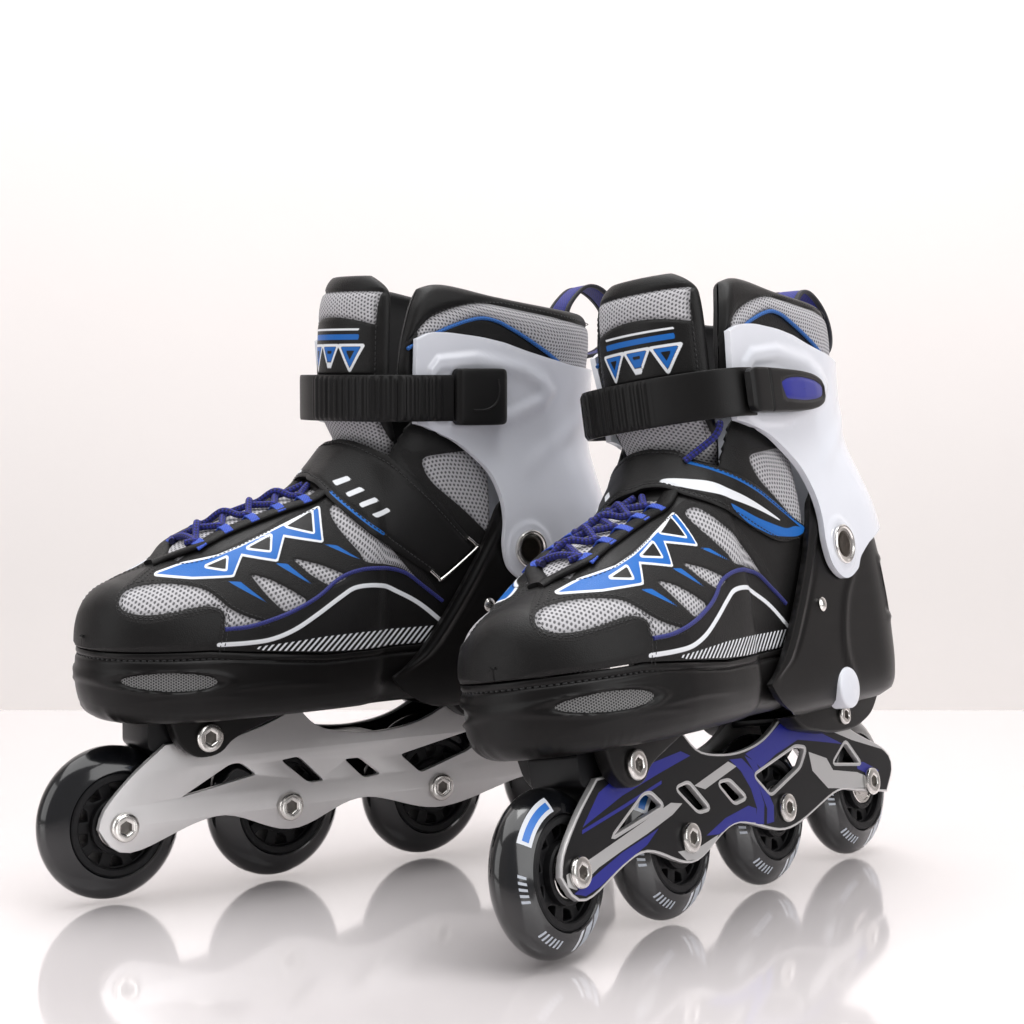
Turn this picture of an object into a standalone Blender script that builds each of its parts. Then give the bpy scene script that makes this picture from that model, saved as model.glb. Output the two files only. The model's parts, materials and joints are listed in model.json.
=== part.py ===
"""A pair of adjustable inline skates, standing with their heels close together.

Every outline is in millimetres in one skate's own frame: x forward from the front axle,
y to the left, z up from the floor. Shapes are drawn once as the left skate (its outer side
at +y) and mirrored for the right skate. Meshes are stored in metres.
"""
from math import atan2, cos, hypot, pi, radians, sin

import bpy
from mathutils import Matrix, Vector

MM = 0.001
GAP = 0.3

# Stance of the pair
TOE_OUT = 9.05
LEFT_LEAN = 9.0
LEFT_PLACE = (-64.5, 227.5)

# Wheels and axles
WHEEL_RADIUS = 36.0
WHEEL_HALF_WIDTH = 12.0
TYRE_CROWN = 21.0
HUB_RADIUS = 24.0
BORE_RADIUS = 4.35
AXLE_RADIUS = 4.0
AXLE_SPACING = 88.4
AXLES_X = [-AXLE_SPACING * i for i in range(4)]

# Chassis
PLATE_INNER = 13.0
PLATE_OUTER = 16.0
BOLT_RADIUS = 2.5
HEAD_RADIUS = 7.0
FRONT_BOLT = (-40.0, 75.0)
REAR_BOLT = (-225.0, 74.0)
SIZE_TRAVEL = 20.0

# Boot
SOLE_Z = 84.0
TOE_X = 13.5
BALL_X = -70.0
BALL_HALF_WIDTH = 48.0
SHELL_WALL = 3.0
UPPER_WALL = 3.0
EAR_OUTER = 24.0
SKIRT_OUTER = 27.0
HEEL_FLOOR_Z = 79.5
PIVOT = (-210.0, 157.0)
PIVOT_SHAFT_RADIUS = 3.5
BUTTON = (-203.0, 88.5)
BUTTON_RADIUS = 10.0
ANKLE_CENTRE_X = -225.0
HEEL_POWER = 0.85
STRAP_LOW_Z = 221.0
STRAP_HIGH_Z = 244.0
LEVER_PIVOT = (-143.0, 47.4)
TONGUE_HALF_WIDTH = 26.0

FINISHES = {
    "plate": ((0.62, 0.63, 0.65), 0.35, 1.0),
    "steel": ((0.75, 0.75, 0.76), 0.18, 1.0),
    "tyre": ((0.02, 0.02, 0.025), 0.25, 0.0),
    "hub": ((0.01, 0.01, 0.012), 0.35, 0.0),
    "black_shell": ((0.012, 0.012, 0.013), 0.3, 0.0),
    "white_shell": ((0.8, 0.81, 0.84), 0.25, 0.0),
    "mesh_fabric": ((0.45, 0.46, 0.48), 0.8, 0.0),
    "black_fabric": ((0.015, 0.015, 0.016), 0.75, 0.0),
    "black_leather": ((0.012, 0.012, 0.013), 0.5, 0.0),
    "blue_cord": ((0.02, 0.04, 0.35), 0.7, 0.0),
    "blue_plastic": ((0.02, 0.06, 0.5), 0.3, 0.0),
}


# ---------------------------------------------------------------- curves and profiles

def spline(knots, count, closed=False):
    """Points spread evenly along a Catmull-Rom curve through the knots."""
    knots = [Vector(k) for k in knots]
    n = len(knots)
    spans = n if closed else n - 1
    dense = []
    for i in range(spans):
        if closed:
            a, b, c, d = (knots[(i + k) % n] for k in (-1, 0, 1, 2))
        else:
            b, c = knots[i], knots[i + 1]
            a = knots[i - 1] if i else b * 2 - c
            d = knots[i + 2] if i + 2 < n else c * 2 - b
        for k in range(12):
            t = k / 12
            dense.append(0.5 * (2 * b + (c - a) * t + (2 * a - 5 * b + 4 * c - d) * t * t
                                + (3 * b - a - 3 * c + d) * t * t * t))
    dense.append(knots[0].copy() if closed else knots[-1])
    lengths = [0.0]
    for p, q in zip(dense, dense[1:]):
        lengths.append(lengths[-1] + (q - p).length)
    points = []
    j = 0
    for k in range(count):
        target = lengths[-1] * k / (count if closed else count - 1)
        while j < len(dense) - 2 and lengths[j + 1] < target:
            j += 1
        span = lengths[j + 1] - lengths[j]
        f = (target - lengths[j]) / span if span else 0.0
        points.append(dense[j].lerp(dense[j + 1], min(max(f, 0.0), 1.0)))
    return points


def along(x, knots):
    """Smooth value at x of a curve given by (x, value) knots in rising or falling order."""
    knots = sorted(knots)
    if x <= knots[0][0]:
        return knots[0][1]
    if x >= knots[-1][0]:
        return knots[-1][1]
    i = max(k for k in range(len(knots) - 1) if knots[k][0] <= x)

    def slope(k):
        if k in (0, len(knots) - 1):
            return 0.0
        return (knots[k + 1][1] - knots[k - 1][1]) / (knots[k + 1][0] - knots[k - 1][0])
    (x0, y0), (x1, y1) = knots[i], knots[i + 1]
    w = x1 - x0
    t = (x - x0) / w
    return ((2 * t**3 - 3 * t**2 + 1) * y0 + (t**3 - 2 * t**2 + t) * w * slope(i)
            + (3 * t**2 - 2 * t**3) * y1 + (t**3 - t**2) * w * slope(i + 1))


def runs(*pieces):
    """One outline from several curves that meet at corners: each piece is (knots, count)."""
    points = []
    for knots, count in pieces:
        points += [tuple(p) for p in spline([(*k, 0) for k in knots], count)[:-1]]
    return [(p[0], p[1]) for p in points]


# ---------------------------------------------------------------- meshes

def new_object(name, points, faces):
    mesh = bpy.data.meshes.new(name)
    mesh.from_pydata([Vector(p) * MM for p in points], [], faces)
    mesh.validate()
    ob = bpy.data.objects.new(name, mesh)
    bpy.context.collection.objects.link(ob)
    return ob


def outward(ob):
    """Turn every face of a closed mesh outwards."""
    import bmesh
    bm = bmesh.new()
    bm.from_mesh(ob.data)
    bmesh.ops.recalc_face_normals(bm, faces=bm.faces)
    bm.to_mesh(ob.data)
    bm.free()
    return ob


def grid(name, rows, ring=False, cap_first=False, cap_last=False):
    """A surface through rows of points; ring closes each row on itself."""
    n = len(rows[0])
    points = [p for row in rows for p in row]
    faces = []
    for r in range(len(rows) - 1):
        for k in range(n if ring else n - 1):
            m = (k + 1) % n
            faces.append((r * n + k, r * n + m, (r + 1) * n + m, (r + 1) * n + k))
    if cap_first:
        faces.append(tuple(reversed(range(n))))
    if cap_last:
        faces.append(tuple((len(rows) - 1) * n + k for k in range(n)))
    return new_object(name, points, faces)


def solid(name, rows):
    """A closed solid through ring sections."""
    return outward(grid(name, rows, ring=True, cap_first=True, cap_last=True))


def turned(name, profile, steps, centre=(0, 0, 0), closed=False):
    """A body turned about the y axis from (radius, y) points; closed makes a hollow ring."""
    cx, cy, cz = centre
    rows = []
    for k in range(steps):
        a = 2 * pi * (k + 0.5) / steps
        rows.append([(cx + r * sin(a), cy + y, cz - r * cos(a)) for r, y in profile])
    n = len(profile)
    points = [p for row in rows for p in row]
    faces = []
    for k in range(steps):
        m = (k + 1) % steps
        for i in range(n if closed else n - 1):
            j = (i + 1) % n
            faces.append((k * n + i, k * n + j, m * n + j, m * n + i))
    if not closed:
        faces.append(tuple(k * n for k in range(steps)))
        faces.append(tuple(k * n + n - 1 for k in reversed(range(steps))))
    return outward(new_object(name, points, faces))


def prism(name, outline, y0, y1):
    """An (x, z) outline pulled from y0 to y1."""
    return solid(name, [[(x, y, z) for x, z in outline] for y in (y0, y1)])


def slab(name, outline, z0, z1):
    """An (x, y) outline pulled from z0 to z1."""
    return solid(name, [[(x, y, z) for x, y in outline] for z in (z0, z1)])


def disc(x, z, radius, sides):
    return [(x + radius * cos(2 * pi * (k + 0.5) / sides), z + radius * sin(2 * pi * (k + 0.5) / sides))
            for k in range(sides)]


def thicken(ob, wall):
    """Give an open surface a wall that grows inwards from it."""
    modifier = ob.modifiers.new("wall", "SOLIDIFY")
    modifier.thickness = wall * MM
    modifier.offset = -1.0
    modifier.use_even_offset = True
    return settle(ob)


def settle(ob):
    """Keep the evaluated mesh and drop the modifiers."""
    graph = bpy.context.evaluated_depsgraph_get()
    mesh = bpy.data.meshes.new_from_object(ob.evaluated_get(graph))
    ob.modifiers.clear()
    ob.data = mesh
    return ob


def combine(ob, tools, operation):
    """Cut, join or intersect with each tool, then remove the tools."""
    for tool in tools:
        modifier = ob.modifiers.new("shape", "BOOLEAN")
        modifier.operation = operation
        modifier.solver = "EXACT"
        modifier.object = tool
    settle(ob)
    for tool in tools:
        bpy.data.objects.remove(tool)
    return ob


def facing(ob, direction):
    """Flip an open surface whose faces mostly look against a direction given per point."""
    score = sum(f.normal.dot(direction(f.center / MM)) * f.area for f in ob.data.polygons)
    if score < 0:
        ob.data.flip_normals()
    return ob


# ---------------------------------------------------------------- the sole's plan

def half_width(x):
    """Half the sole's width at x: round toe, ball of the foot, then the narrow rear."""
    if x > BALL_X:
        return BALL_HALF_WIDTH * max(0.0, 1 - ((x - BALL_X) / (TOE_X - BALL_X)) ** 2.6) ** 0.4545
    return along(x, [(-195, 37.8), (-165, 38.6), (-131, 39.5), (-122, 43.5), (-100, 46.5),
                     (BALL_X, BALL_HALF_WIDTH)])


def centre_y(x):
    """The toe leans a little towards the big toe."""
    return -4.0 * min(max((x + 60) / 73, 0.0), 1.0)


def rim_z(x):
    """Height of the sole shell's upper rim."""
    return 112.5 + 5.5 * min(max((x + 90) / 60, 0.0), 1.0)


def toe_plan(inset, sides=26):
    """Plan outline of the toe shell, drawn in by an inset."""
    front = TOE_X - inset
    rear = -176.0
    scale = (BALL_HALF_WIDTH - inset) / BALL_HALF_WIDTH
    stations = [front - (front - rear) * (1 - cos(pi * k / 12)) / 2 for k in range(1, 12)]
    stretch = (TOE_X - rear) / (front - rear)
    lateral = []
    for x in stations:
        at = rear + (x - rear) * stretch
        lateral.append((x, centre_y(at), half_width(at) * scale))
    points = [(front, centre_y(front))]
    points += [(x, c + h) for x, c, h in lateral]
    points += [(rear, 0.0)]
    points += [(x, c - h) for x, c, h in reversed(lateral)]
    return [(p.x, p.y) for p in spline([(*p, 0) for p in points], sides, closed=True)]


# ---------------------------------------------------------------- wheels, axles and bolts

def make_tyre():
    inner = HUB_RADIUS + GAP
    crown = WHEEL_RADIUS - TYRE_CROWN
    edge = (1 - ((inner - crown) / TYRE_CROWN) ** 2) ** 0.5 * WHEEL_HALF_WIDTH
    profile = [(inner, -edge)]
    profile += [(crown + TYRE_CROWN * cos(radians(a)), WHEEL_HALF_WIDTH * sin(radians(a)))
                for a in (-45, -20, 0, 20, 45)]
    profile += [(inner, edge)]
    return turned("tyre", profile, 18, closed=True)


def make_hub():
    profile = [(BORE_RADIUS, -11.6), (11, -11.6), (HUB_RADIUS, -10.2),
               (HUB_RADIUS, 10.2), (11, 11.6), (BORE_RADIUS, 11.6)]
    return turned("hub", profile, 18, closed=True)


def make_bolt(name, shaft_radius, seat, head_radius=HEAD_RADIUS, head=3.0, sides=8):
    """A through bolt with a domed head and a matching nut, seated at y = -seat and seat."""
    side = [(head_radius * 0.62, seat + head), (head_radius, seat + head * 0.55), (head_radius, seat),
            (shaft_radius, seat)]
    profile = side + [(r, -y) for r, y in reversed(side)]
    return turned(name, profile, sides)


# ---------------------------------------------------------------- chassis

def chassis_outline():
    return runs(
        ([(12.5, 36), (9, 45), (-5, 59), (-22, 71.8)], 5),
        ([(-22, 71.8), (-58, 71.8)], 2),
        ([(-58, 71.8), (-77, 77), (-93, SOLE_Z - GAP)], 4),
        ([(-93, SOLE_Z - GAP), (-105, 73), (-124, 68.5), (-144, 67.5), (-165, 70.5), (-186, 79.2)], 7),
        ([(-186, 79.2), (-242, 79.2)], 2),
        ([(-242, 79.2), (-250, 65), (-284, 50), (-291, 40), (-282, 28.5)], 7),
        ([(-282, 28.5), (-249, 34), (-228, 36), (-177, 26), (-130, 36), (-90, 25), (-50, 36),
          (-8, 24.5), (5, 26.5), (12.5, 36)], 18))


def chassis_windows():
    return [[(-28, 46), (-56, 60), (-62, 60), (-71, 53)],
            [(-83, 59), (-94, 60), (-109, 46), (-99, 46)],
            [(-119, 56), (-129, 56), (-142, 46), (-131, 45)],
            [(-152, 55), (-194, 63), (-204, 61), (-196, 53), (-165, 44)],
            [(-229, 50), (-245, 59), (-258, 46)]]


def chassis_webs():
    """Cross walls between the plates: front platform with the size slot, middle, rear platform."""
    return [[(-50, 58), (-32, 58), (-24, 65), (-14.5, 70.8), (-14.5, SOLE_Z - GAP),
             (-93, SOLE_Z - GAP), (-93, 79), (-54, 79)],
            [(-142, 58), (-123, 58), (-120, 66), (-145, 66)],
            [(-232, 60), (-216, 60), (-212, 75.2), (-186, 75.2), (-186, 79.2), (-242, 79.2),
             (-242, 75.2), (-236, 75.2)]]


def make_chassis():
    plates = []
    for side in (1, -1):
        plate = prism("plate", chassis_outline(), side * PLATE_INNER, side * PLATE_OUTER)
        holes = [prism("window", w, side * (PLATE_INNER - 2), side * (PLATE_OUTER + 2))
                 for w in chassis_windows()]
        holes += [prism("axle_hole", disc(x, WHEEL_RADIUS, AXLE_RADIUS + 0.4, 8),
                        side * (PLATE_INNER - 2), side * (PLATE_OUTER + 2)) for x in AXLES_X]
        plates.append(combine(plate, holes, "DIFFERENCE"))
    base = plates[0]
    middle = (PLATE_INNER + PLATE_OUTER) / 2
    webs = [prism("web", w, -middle, middle) for w in chassis_webs()]
    combine(base, webs + [plates[1]], "UNION")
    x, z = FRONT_BOLT
    clear = BOLT_RADIUS + 0.3
    slot = [(x - clear, z - clear), (x + SIZE_TRAVEL + clear, z - clear),
            (x + SIZE_TRAVEL + clear, z + clear), (x - clear, z + clear)]
    cutters = [prism("slot", slot, -20, 20),
               prism("rear_hole", disc(*REAR_BOLT, clear, 8), -20, 20)]
    return combine(base, cutters, "DIFFERENCE")


# ---------------------------------------------------------------- boot shells

def make_toe_shell():
    levels = [(SOLE_Z, 12.0), (87.0, 5.5), (93.0, 1.5), (101.0, 0.0)]
    rows = [[(x, y, z) for x, y in toe_plan(inset)] for z, inset in levels]
    rows.append([(x, y, rim_z(x)) for x, y in toe_plan(0.8)])
    shell = grid("toe_shell", rows, ring=True, cap_first=True)
    facing(shell, lambda c: Vector((c.x + 80, c.y, c.z - 110)))
    thicken(shell, SHELL_WALL)
    combine(shell, [prism("rear", [(-163, 60), (-200, 60), (-200, 140), (-163, 140)], -60, 60)],
            "DIFFERENCE")
    ear = runs(([(-23, 86), (-24, 75), (-37, 67), (-52, 75), (-88, 86)], 9), ([(-88, 86), (-23, 86)], 2))
    ears = [prism("ear", ear, side * (PLATE_OUTER + GAP), side * EAR_OUTER) for side in (1, -1)]
    combine(shell, ears, "UNION")
    return combine(shell, [prism("hole", disc(*FRONT_BOLT, BOLT_RADIUS + 0.3, 8), -30, 30)],
                   "DIFFERENCE")


def heel_plan(z, sides=22):
    wide = along(z, [(HEEL_FLOOR_Z, 35), (83, 40.5), (92, 43.5), (112, 44), (130, 44), (150, 43.2),
                     (172, 41.3), (188, 38.9)])
    rear = along(z, [(HEEL_FLOOR_Z, -276), (83, -283), (92, -285), (112, -287), (130, -286),
                     (150, -282.5), (172, -278), (188, -276)])
    points = [(-118, -wide), (-118, 0), (-118, wide), (-165, wide), (-210, wide)]
    centre = -240.0
    for k in range(1, 8):
        a = pi * k / 8
        points.append((centre - (centre - rear) * sin(a) ** HEEL_POWER,
                       wide * (1 if cos(a) > 0 else -1) * abs(cos(a)) ** HEEL_POWER))
    points += [(-210, -wide), (-165, -wide)]
    return [(p.x, p.y) for p in spline([(*p, 0) for p in points], sides, closed=True)]


def make_heel_shell():
    heights = (HEEL_FLOOR_Z, 83, 92, 112, 134, 155, 172, 188)
    rows = [[(x, y, z) for x, y in heel_plan(z)] for z in heights]
    shell = grid("heel_shell", rows, ring=True, cap_first=True)
    facing(shell, lambda c: Vector((c.x + 200, c.y, c.z - 130)))
    thicken(shell, SHELL_WALL)
    keep = runs(([(-131, 98), (-142, 87), (-165, 79.3)], 4), ([(-165, 79.3), (-165, 60)], 2),
                ([(-165, 60), (-300, 60)], 2), ([(-300, 60), (-300, 160)], 2),
                ([(-300, 160), (-250, 160)], 2), ([(-250, 160), (-226, 176), (-205, 185)], 4),
                ([(-205, 185), (-196, 179), (-183, 157), (-159, 124), (-145, 108), (-131, 98)], 8))
    combine(shell, [prism("keep", keep, -60, 60)], "INTERSECT")
    skirt = [(-176, 81.5), (-186, 73), (-215, 67.5), (-238, 67), (-256, 72), (-266, 81.5)]
    skirts = [prism("skirt", skirt, side * (PLATE_OUTER + GAP), side * SKIRT_OUTER) for side in (1, -1)]
    combine(shell, skirts, "UNION")
    cutters = [prism("bolt_hole", disc(*REAR_BOLT, BOLT_RADIUS + 0.3, 8), -40, 40),
               prism("pivot_hole", disc(*PIVOT, PIVOT_SHAFT_RADIUS + 0.3, 12), -60, 60),
               prism("button_hole", disc(*BUTTON, BUTTON_RADIUS + 0.4, 16), 31, 60)]
    return combine(shell, cutters, "DIFFERENCE")


def make_footbed():
    plan = [(-2, -5), (-9, 12), (-26, 26), (-60, 34), (-100, 32), (-140, 27), (-180, 26), (-220, 28),
            (-250, 25), (-269, 0), (-250, -25), (-220, -28), (-180, -25), (-140, -26), (-100, -31),
            (-60, -34), (-26, -30), (-9, -21)]
    outline = [(p.x, p.y) for p in spline([(*p, 0) for p in plan], 26, closed=True)]
    sole = slab("footbed", outline, 88.8, 91.4)
    block = slab("heel_block", [(-174, 22), (-245, 22), (-262, 10), (-262, -10), (-245, -22), (-174, -22)],
                 HEEL_FLOOR_Z + SHELL_WALL + GAP, 90.0)
    return combine(sole, [block], "UNION")


# ---------------------------------------------------------------- soft boot

def instep_z(x):
    """Height of the upper's ridge line at x."""
    return along(x, [(TOE_X, 124), (11, 136), (3, 145), (-7, 149), (-28, 157), (-45, 167), (-61, 173),
                     (-87, 181), (-105, 186), (-118, 196), (-127, 206), (-140, 225), (-155, 240),
                     (-195, 240)])


def upper_point(x, a, lift=0.0):
    """Point of the upper at station x; a runs from 0 at the outer rim over the ridge to pi."""
    n = along(x, [(-195, 3.4), (-150, 3.4), (-128, 2.9), (-105, 2.4), (-60, 2.2), (TOE_X, 2.2)])
    low = rim_z(x) + 2 * GAP
    side = 1 if cos(a) >= 0 else -1
    y = centre_y(x) + (half_width(x) - 0.8 + lift) * side * abs(cos(a)) ** (2 / n)
    z = low + (instep_z(x) - low + lift) * max(sin(a), 0.0) ** (2 / n)
    return (x, y, z)


def make_upper():
    stations = (12.6, 9, 3, -8, -26, -46, -66, -88, -105, -118, -127, -140, -155, -175, -193)
    steps = 11
    rows = [[upper_point(x, pi * k / steps) for k in range(steps + 1)] for x in stations]
    skin = grid("upper", rows, cap_first=True)
    facing(skin, lambda c: Vector((c.x + 90, c.y, c.z - 120)))
    thicken(skin, UPPER_WALL)
    mouth = [(-126, -20), (-126, 20), (-132, 30), (-215, 30), (-215, -30), (-132, -30)]
    cutters = [slab("mouth", mouth, 180, 260),
               prism("top", [(-110, 222), (-215, 222), (-215, 260), (-110, 260)], -60, 60)]
    return combine(skin, cutters, "DIFFERENCE")


def make_tongue():
    line = spline([(-139, 0, 196), (-131, 0, 213), (-123.5, 0, 229), (-122.5, 0, 250),
                   (-125, 0, 275), (-130, 0, 292)], 7)
    rows = []
    for k, p in enumerate(line):
        half = along(k, [(0, 19), (2, 25), (4, TONGUE_HALF_WIDTH), (5, TONGUE_HALF_WIDTH), (6, 22)])
        row = []
        for i in range(7):
            y = half * (i / 3 - 1)
            row.append((p.x - 8 * (y / TONGUE_HALF_WIDTH) ** 2, y, p.z))
        rows.append(row)
    skin = grid("tongue", rows)
    facing(skin, lambda c: Vector((1, 0, 0)))
    return thicken(skin, 8.0)


def open_ring(z, front, wide_front, wide, rear, centre=ANKLE_CENTRE_X, power=1.0, arc=9):
    """A row that runs back along one side, round the heel and forward along the other."""
    row = [(front, wide_front, z), ((front + centre) / 2, (wide + wide_front) / 2, z)]
    for k in range(arc + 1):
        a = pi * k / arc
        side = 1 if cos(a) > 0 else -1
        row.append((centre - (centre - rear) * max(sin(a), 0.0) ** power,
                    wide * side * abs(cos(a)) ** power, z))
    row += [((front + centre) / 2, -(wide + wide_front) / 2, z), (front, -wide_front, z)]
    return row


def make_cuff():
    rows = []
    for z, wide, rear, centre in (
            (138, 47.5, -284, -240), (157, 46.9, -283, -240), (175, 45.2, -280, -239), (192, 42.2, -277, -234),
            (208, 39.4, -275, -228), (222, 38.8, -276, -226), (240, 39.4, -277.6, -226), (266, 41.5, -277, -228)):
        power = along(z, [(170, HEEL_POWER), (210, 1.0)])
        rows.append(open_ring(z, -134, wide - 0.4, wide, rear, centre, power))
    shell = grid("cuff", rows)
    facing(shell, lambda c: Vector((c.x + 200, c.y, 0)))
    thicken(shell, SHELL_WALL)
    keep = runs(([(-139, 261), (-160, 264.5), (-200, 260), (-241, 250), (-300, 246)], 7),
                ([(-300, 246), (-300, 163)], 2), ([(-300, 163), (-254, 163)], 2),
                ([(-254, 163), (-236, 157), (-224, 145), (-210, 140.5), (-197, 146), (-192.5, 157),
                  (-197.5, 170), (-196, 181), (-186, 194), (-166, 209), (-140, 220)], 15),
                ([(-140, 220), (-139, 261)], 2))
    combine(shell, [prism("keep", keep, -60, 60)], "INTERSECT")
    return combine(shell, [prism("hole", disc(*PIVOT, PIVOT_SHAFT_RADIUS + 0.3, 12), -60, 60)],
                   "DIFFERENCE")


def make_pivot():
    """Rivet of the outer side; the inner side's is its mirror image."""
    profile = [(PIVOT_SHAFT_RADIUS, 39.6), (PIVOT_SHAFT_RADIUS, 47.6), (9.5, 47.6), (9.5, 48.8), (5.5, 50.2)]
    return turned("pivot", profile, 12, centre=(PIVOT[0], 0, PIVOT[1]))


def make_collar():
    low = 238.0
    rows = []
    for share, front, wide, rear in ((0, -142, 36.2, -273.4), (0.3, -141.5, 36.6, -273.6),
                                     (0.6, -142.5, 37.2, -274.5), (0.85, -147, 37.2, -274.5),
                                     (1.0, -153, 35.0, -272.0)):
        row = []
        for x, y, _ in open_ring(0, front, wide - 1.0, wide, rear):
            top = along(x, [(-275, 275), (-240, 277), (-199, 282), (-156, 288.5), (-140, 287)])
            row.append((x, y, low + share * (top - low)))
        rows.append(row)
    skin = grid("collar", rows)
    facing(skin, lambda c: Vector((c.x + 200, c.y, 0)))
    thicken(skin, 8.0)
    path = spline([(-269, 0, 270), (-276, 0, 283), (-286, 0, 283), (-296.5, 0, 270), (-292, 0, 258),
                   (-280, 0, 253.5), (-270, 0, 252)], 12)
    rows = []
    for k, p in enumerate(path):
        q, r = path[max(k - 1, 0)], path[min(k + 1, len(path) - 1)]
        across = Vector((r.z - q.z, 0, q.x - r.x)).normalized()
        a, b = p + across, p - across
        rows.append([(a.x, -9, a.z), (a.x, 9, a.z), (b.x, 9, b.z), (b.x, -9, b.z)])
    return combine(skin, [solid("loop", rows)], "UNION")


def make_ankle_strap():
    side = [(-118.6, 0), (-120.3, 17), (-126, 32), (-137, 41.2), (-151, 42.4)]
    path = [(x, y, 0) for x, y in reversed(side)] + [(x, -y, 0) for x, y in side[1:]] + [(-166, -42.4, 0)]
    path = spline(path, 17)
    rows = [[(p.x, p.y, STRAP_LOW_Z + 1), (p.x, p.y, (STRAP_LOW_Z + STRAP_HIGH_Z) / 2),
             (p.x, p.y, STRAP_HIGH_Z)] for p in path]
    skin = grid("ankle_strap", rows)
    facing(skin, lambda c: Vector((c.x + 180, c.y, 0)))
    modifier = skin.modifiers.new("wall", "SOLIDIFY")
    modifier.thickness = 2.6 * MM
    modifier.offset = 0.0
    return settle(skin)


def chamfered(y0, y1, z0, z1, x, cut):
    return [(x, y0 + cut, z0), (x, y1 - cut, z0), (x, y1, z0 + cut), (x, y1, z1 - cut),
            (x, y1 - cut, z1), (x, y0 + cut, z1), (x, y0, z1 - cut), (x, y0, z0 + cut)]


def make_buckle_lever():
    sections = [(-140, 45.2, 48.6, 225, 241), (-145, 44.3, 50.2, 222, 243), (-175, 43.6, 50.0, 222, 242),
                (-200, 42.6, 48.4, 223, 240), (-213, 42.0, 46.4, 226, 237), (-217, 42.2, 45.2, 229, 234)]
    return solid("buckle_lever", [chamfered(y0, y1, z0, z1, x, 1.2) for x, y0, y1, z0, z1 in sections])


def make_catch():
    """Square catch on the inner side that holds the strap's fixed end."""
    sections = [(-167, -44.5, -40.3, 221, 245), (-170, -47.0, -40.3, 219, 247), (-194, -47.0, -40.3, 219, 247),
                (-198, -44.5, -40.6, 221, 245)]
    return solid("catch", [chamfered(y0, y1, z0, z1, x, 1.2) for x, y0, y1, z0, z1 in sections])


def strap_point(s, edge):
    """Point of the instep strap: s from -1 (inner end) to 1 (outer end), edge 0 rear, 1 front."""
    rear = along(abs(s), [(0, -127), (0.25, -130), (0.5, -140), (0.75, -156), (1, -174)])
    front = along(abs(s), [(0, -105), (0.25, -108), (0.5, -118), (0.75, -135), (1, -154)])
    x = rear + (front - rear) * edge
    a = pi / 2 * (1 - 0.9 * s)
    x, y, z = upper_point(x, a, lift=1.6)
    return (x, y, z)


def make_instep_strap():
    steps = 14
    rows = [[strap_point(-1 + 2 * k / steps, e) for e in (0, 0.5, 1)] for k in range(steps + 1)]
    skin = grid("instep_strap", rows)
    facing(skin, lambda c: Vector((0.5, c.y / 20, 1)))
    modifier = skin.modifiers.new("wall", "SOLIDIFY")
    modifier.thickness = 2.5 * MM
    modifier.offset = 1.0
    return settle(skin)


def make_size_button():
    profile = [(BUTTON_RADIUS, 37.0), (BUTTON_RADIUS, 44.6), (BUTTON_RADIUS - 1.5, 45.8)]
    return turned("size_button", profile, 16, centre=(BUTTON[0], 0, BUTTON[1]))


def lace_route():
    """The lace's way over the instep: from side to side, four times, up to the strap."""
    route = []
    for k in range(5):
        x = -42 - 13.5 * k
        side = 1 if k % 2 == 0 else -1
        for s in (-1, -0.4, 0.4, 1):
            a = pi / 2 - side * s * 0.22
            route.append(Vector(upper_point(x - 2.2 * (s + 1), a, lift=3.4)))
    return spline(route, 30)


def make_lace():
    curve = bpy.data.curves.new("lace", "CURVE")
    curve.dimensions = "3D"
    curve.bevel_depth = 2.0 * MM
    curve.bevel_resolution = 2
    curve.use_fill_caps = True
    route = lace_route()
    line = curve.splines.new("POLY")
    line.points.add(len(route) - 1)
    for point, p in zip(line.points, route):
        point.co = (*(p * MM), 1.0)
    ob = bpy.data.objects.new("lace", curve)
    bpy.context.collection.objects.link(ob)
    graph = bpy.context.evaluated_depsgraph_get()
    mesh = bpy.data.meshes.new_from_object(ob.evaluated_get(graph))
    bpy.data.objects.remove(ob)
    ob = bpy.data.objects.new("lace", mesh)
    bpy.context.collection.objects.link(ob)
    return ob


# ---------------------------------------------------------------- assembly

def finish(name):
    (red, green, blue), rough, metallic = FINISHES[name]
    material = bpy.data.materials.new(name)
    material.use_nodes = True
    shader = material.node_tree.nodes["Principled BSDF"]
    shader.inputs["Base Color"].default_value = (red, green, blue, 1.0)
    shader.inputs["Roughness"].default_value = rough
    shader.inputs["Metallic"].default_value = metallic
    return material


def mirrored(mesh):
    copy = mesh.copy()
    copy.transform(Matrix.Scale(-1, 4, (0, 1, 0)))
    copy.flip_normals()
    return copy


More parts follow.
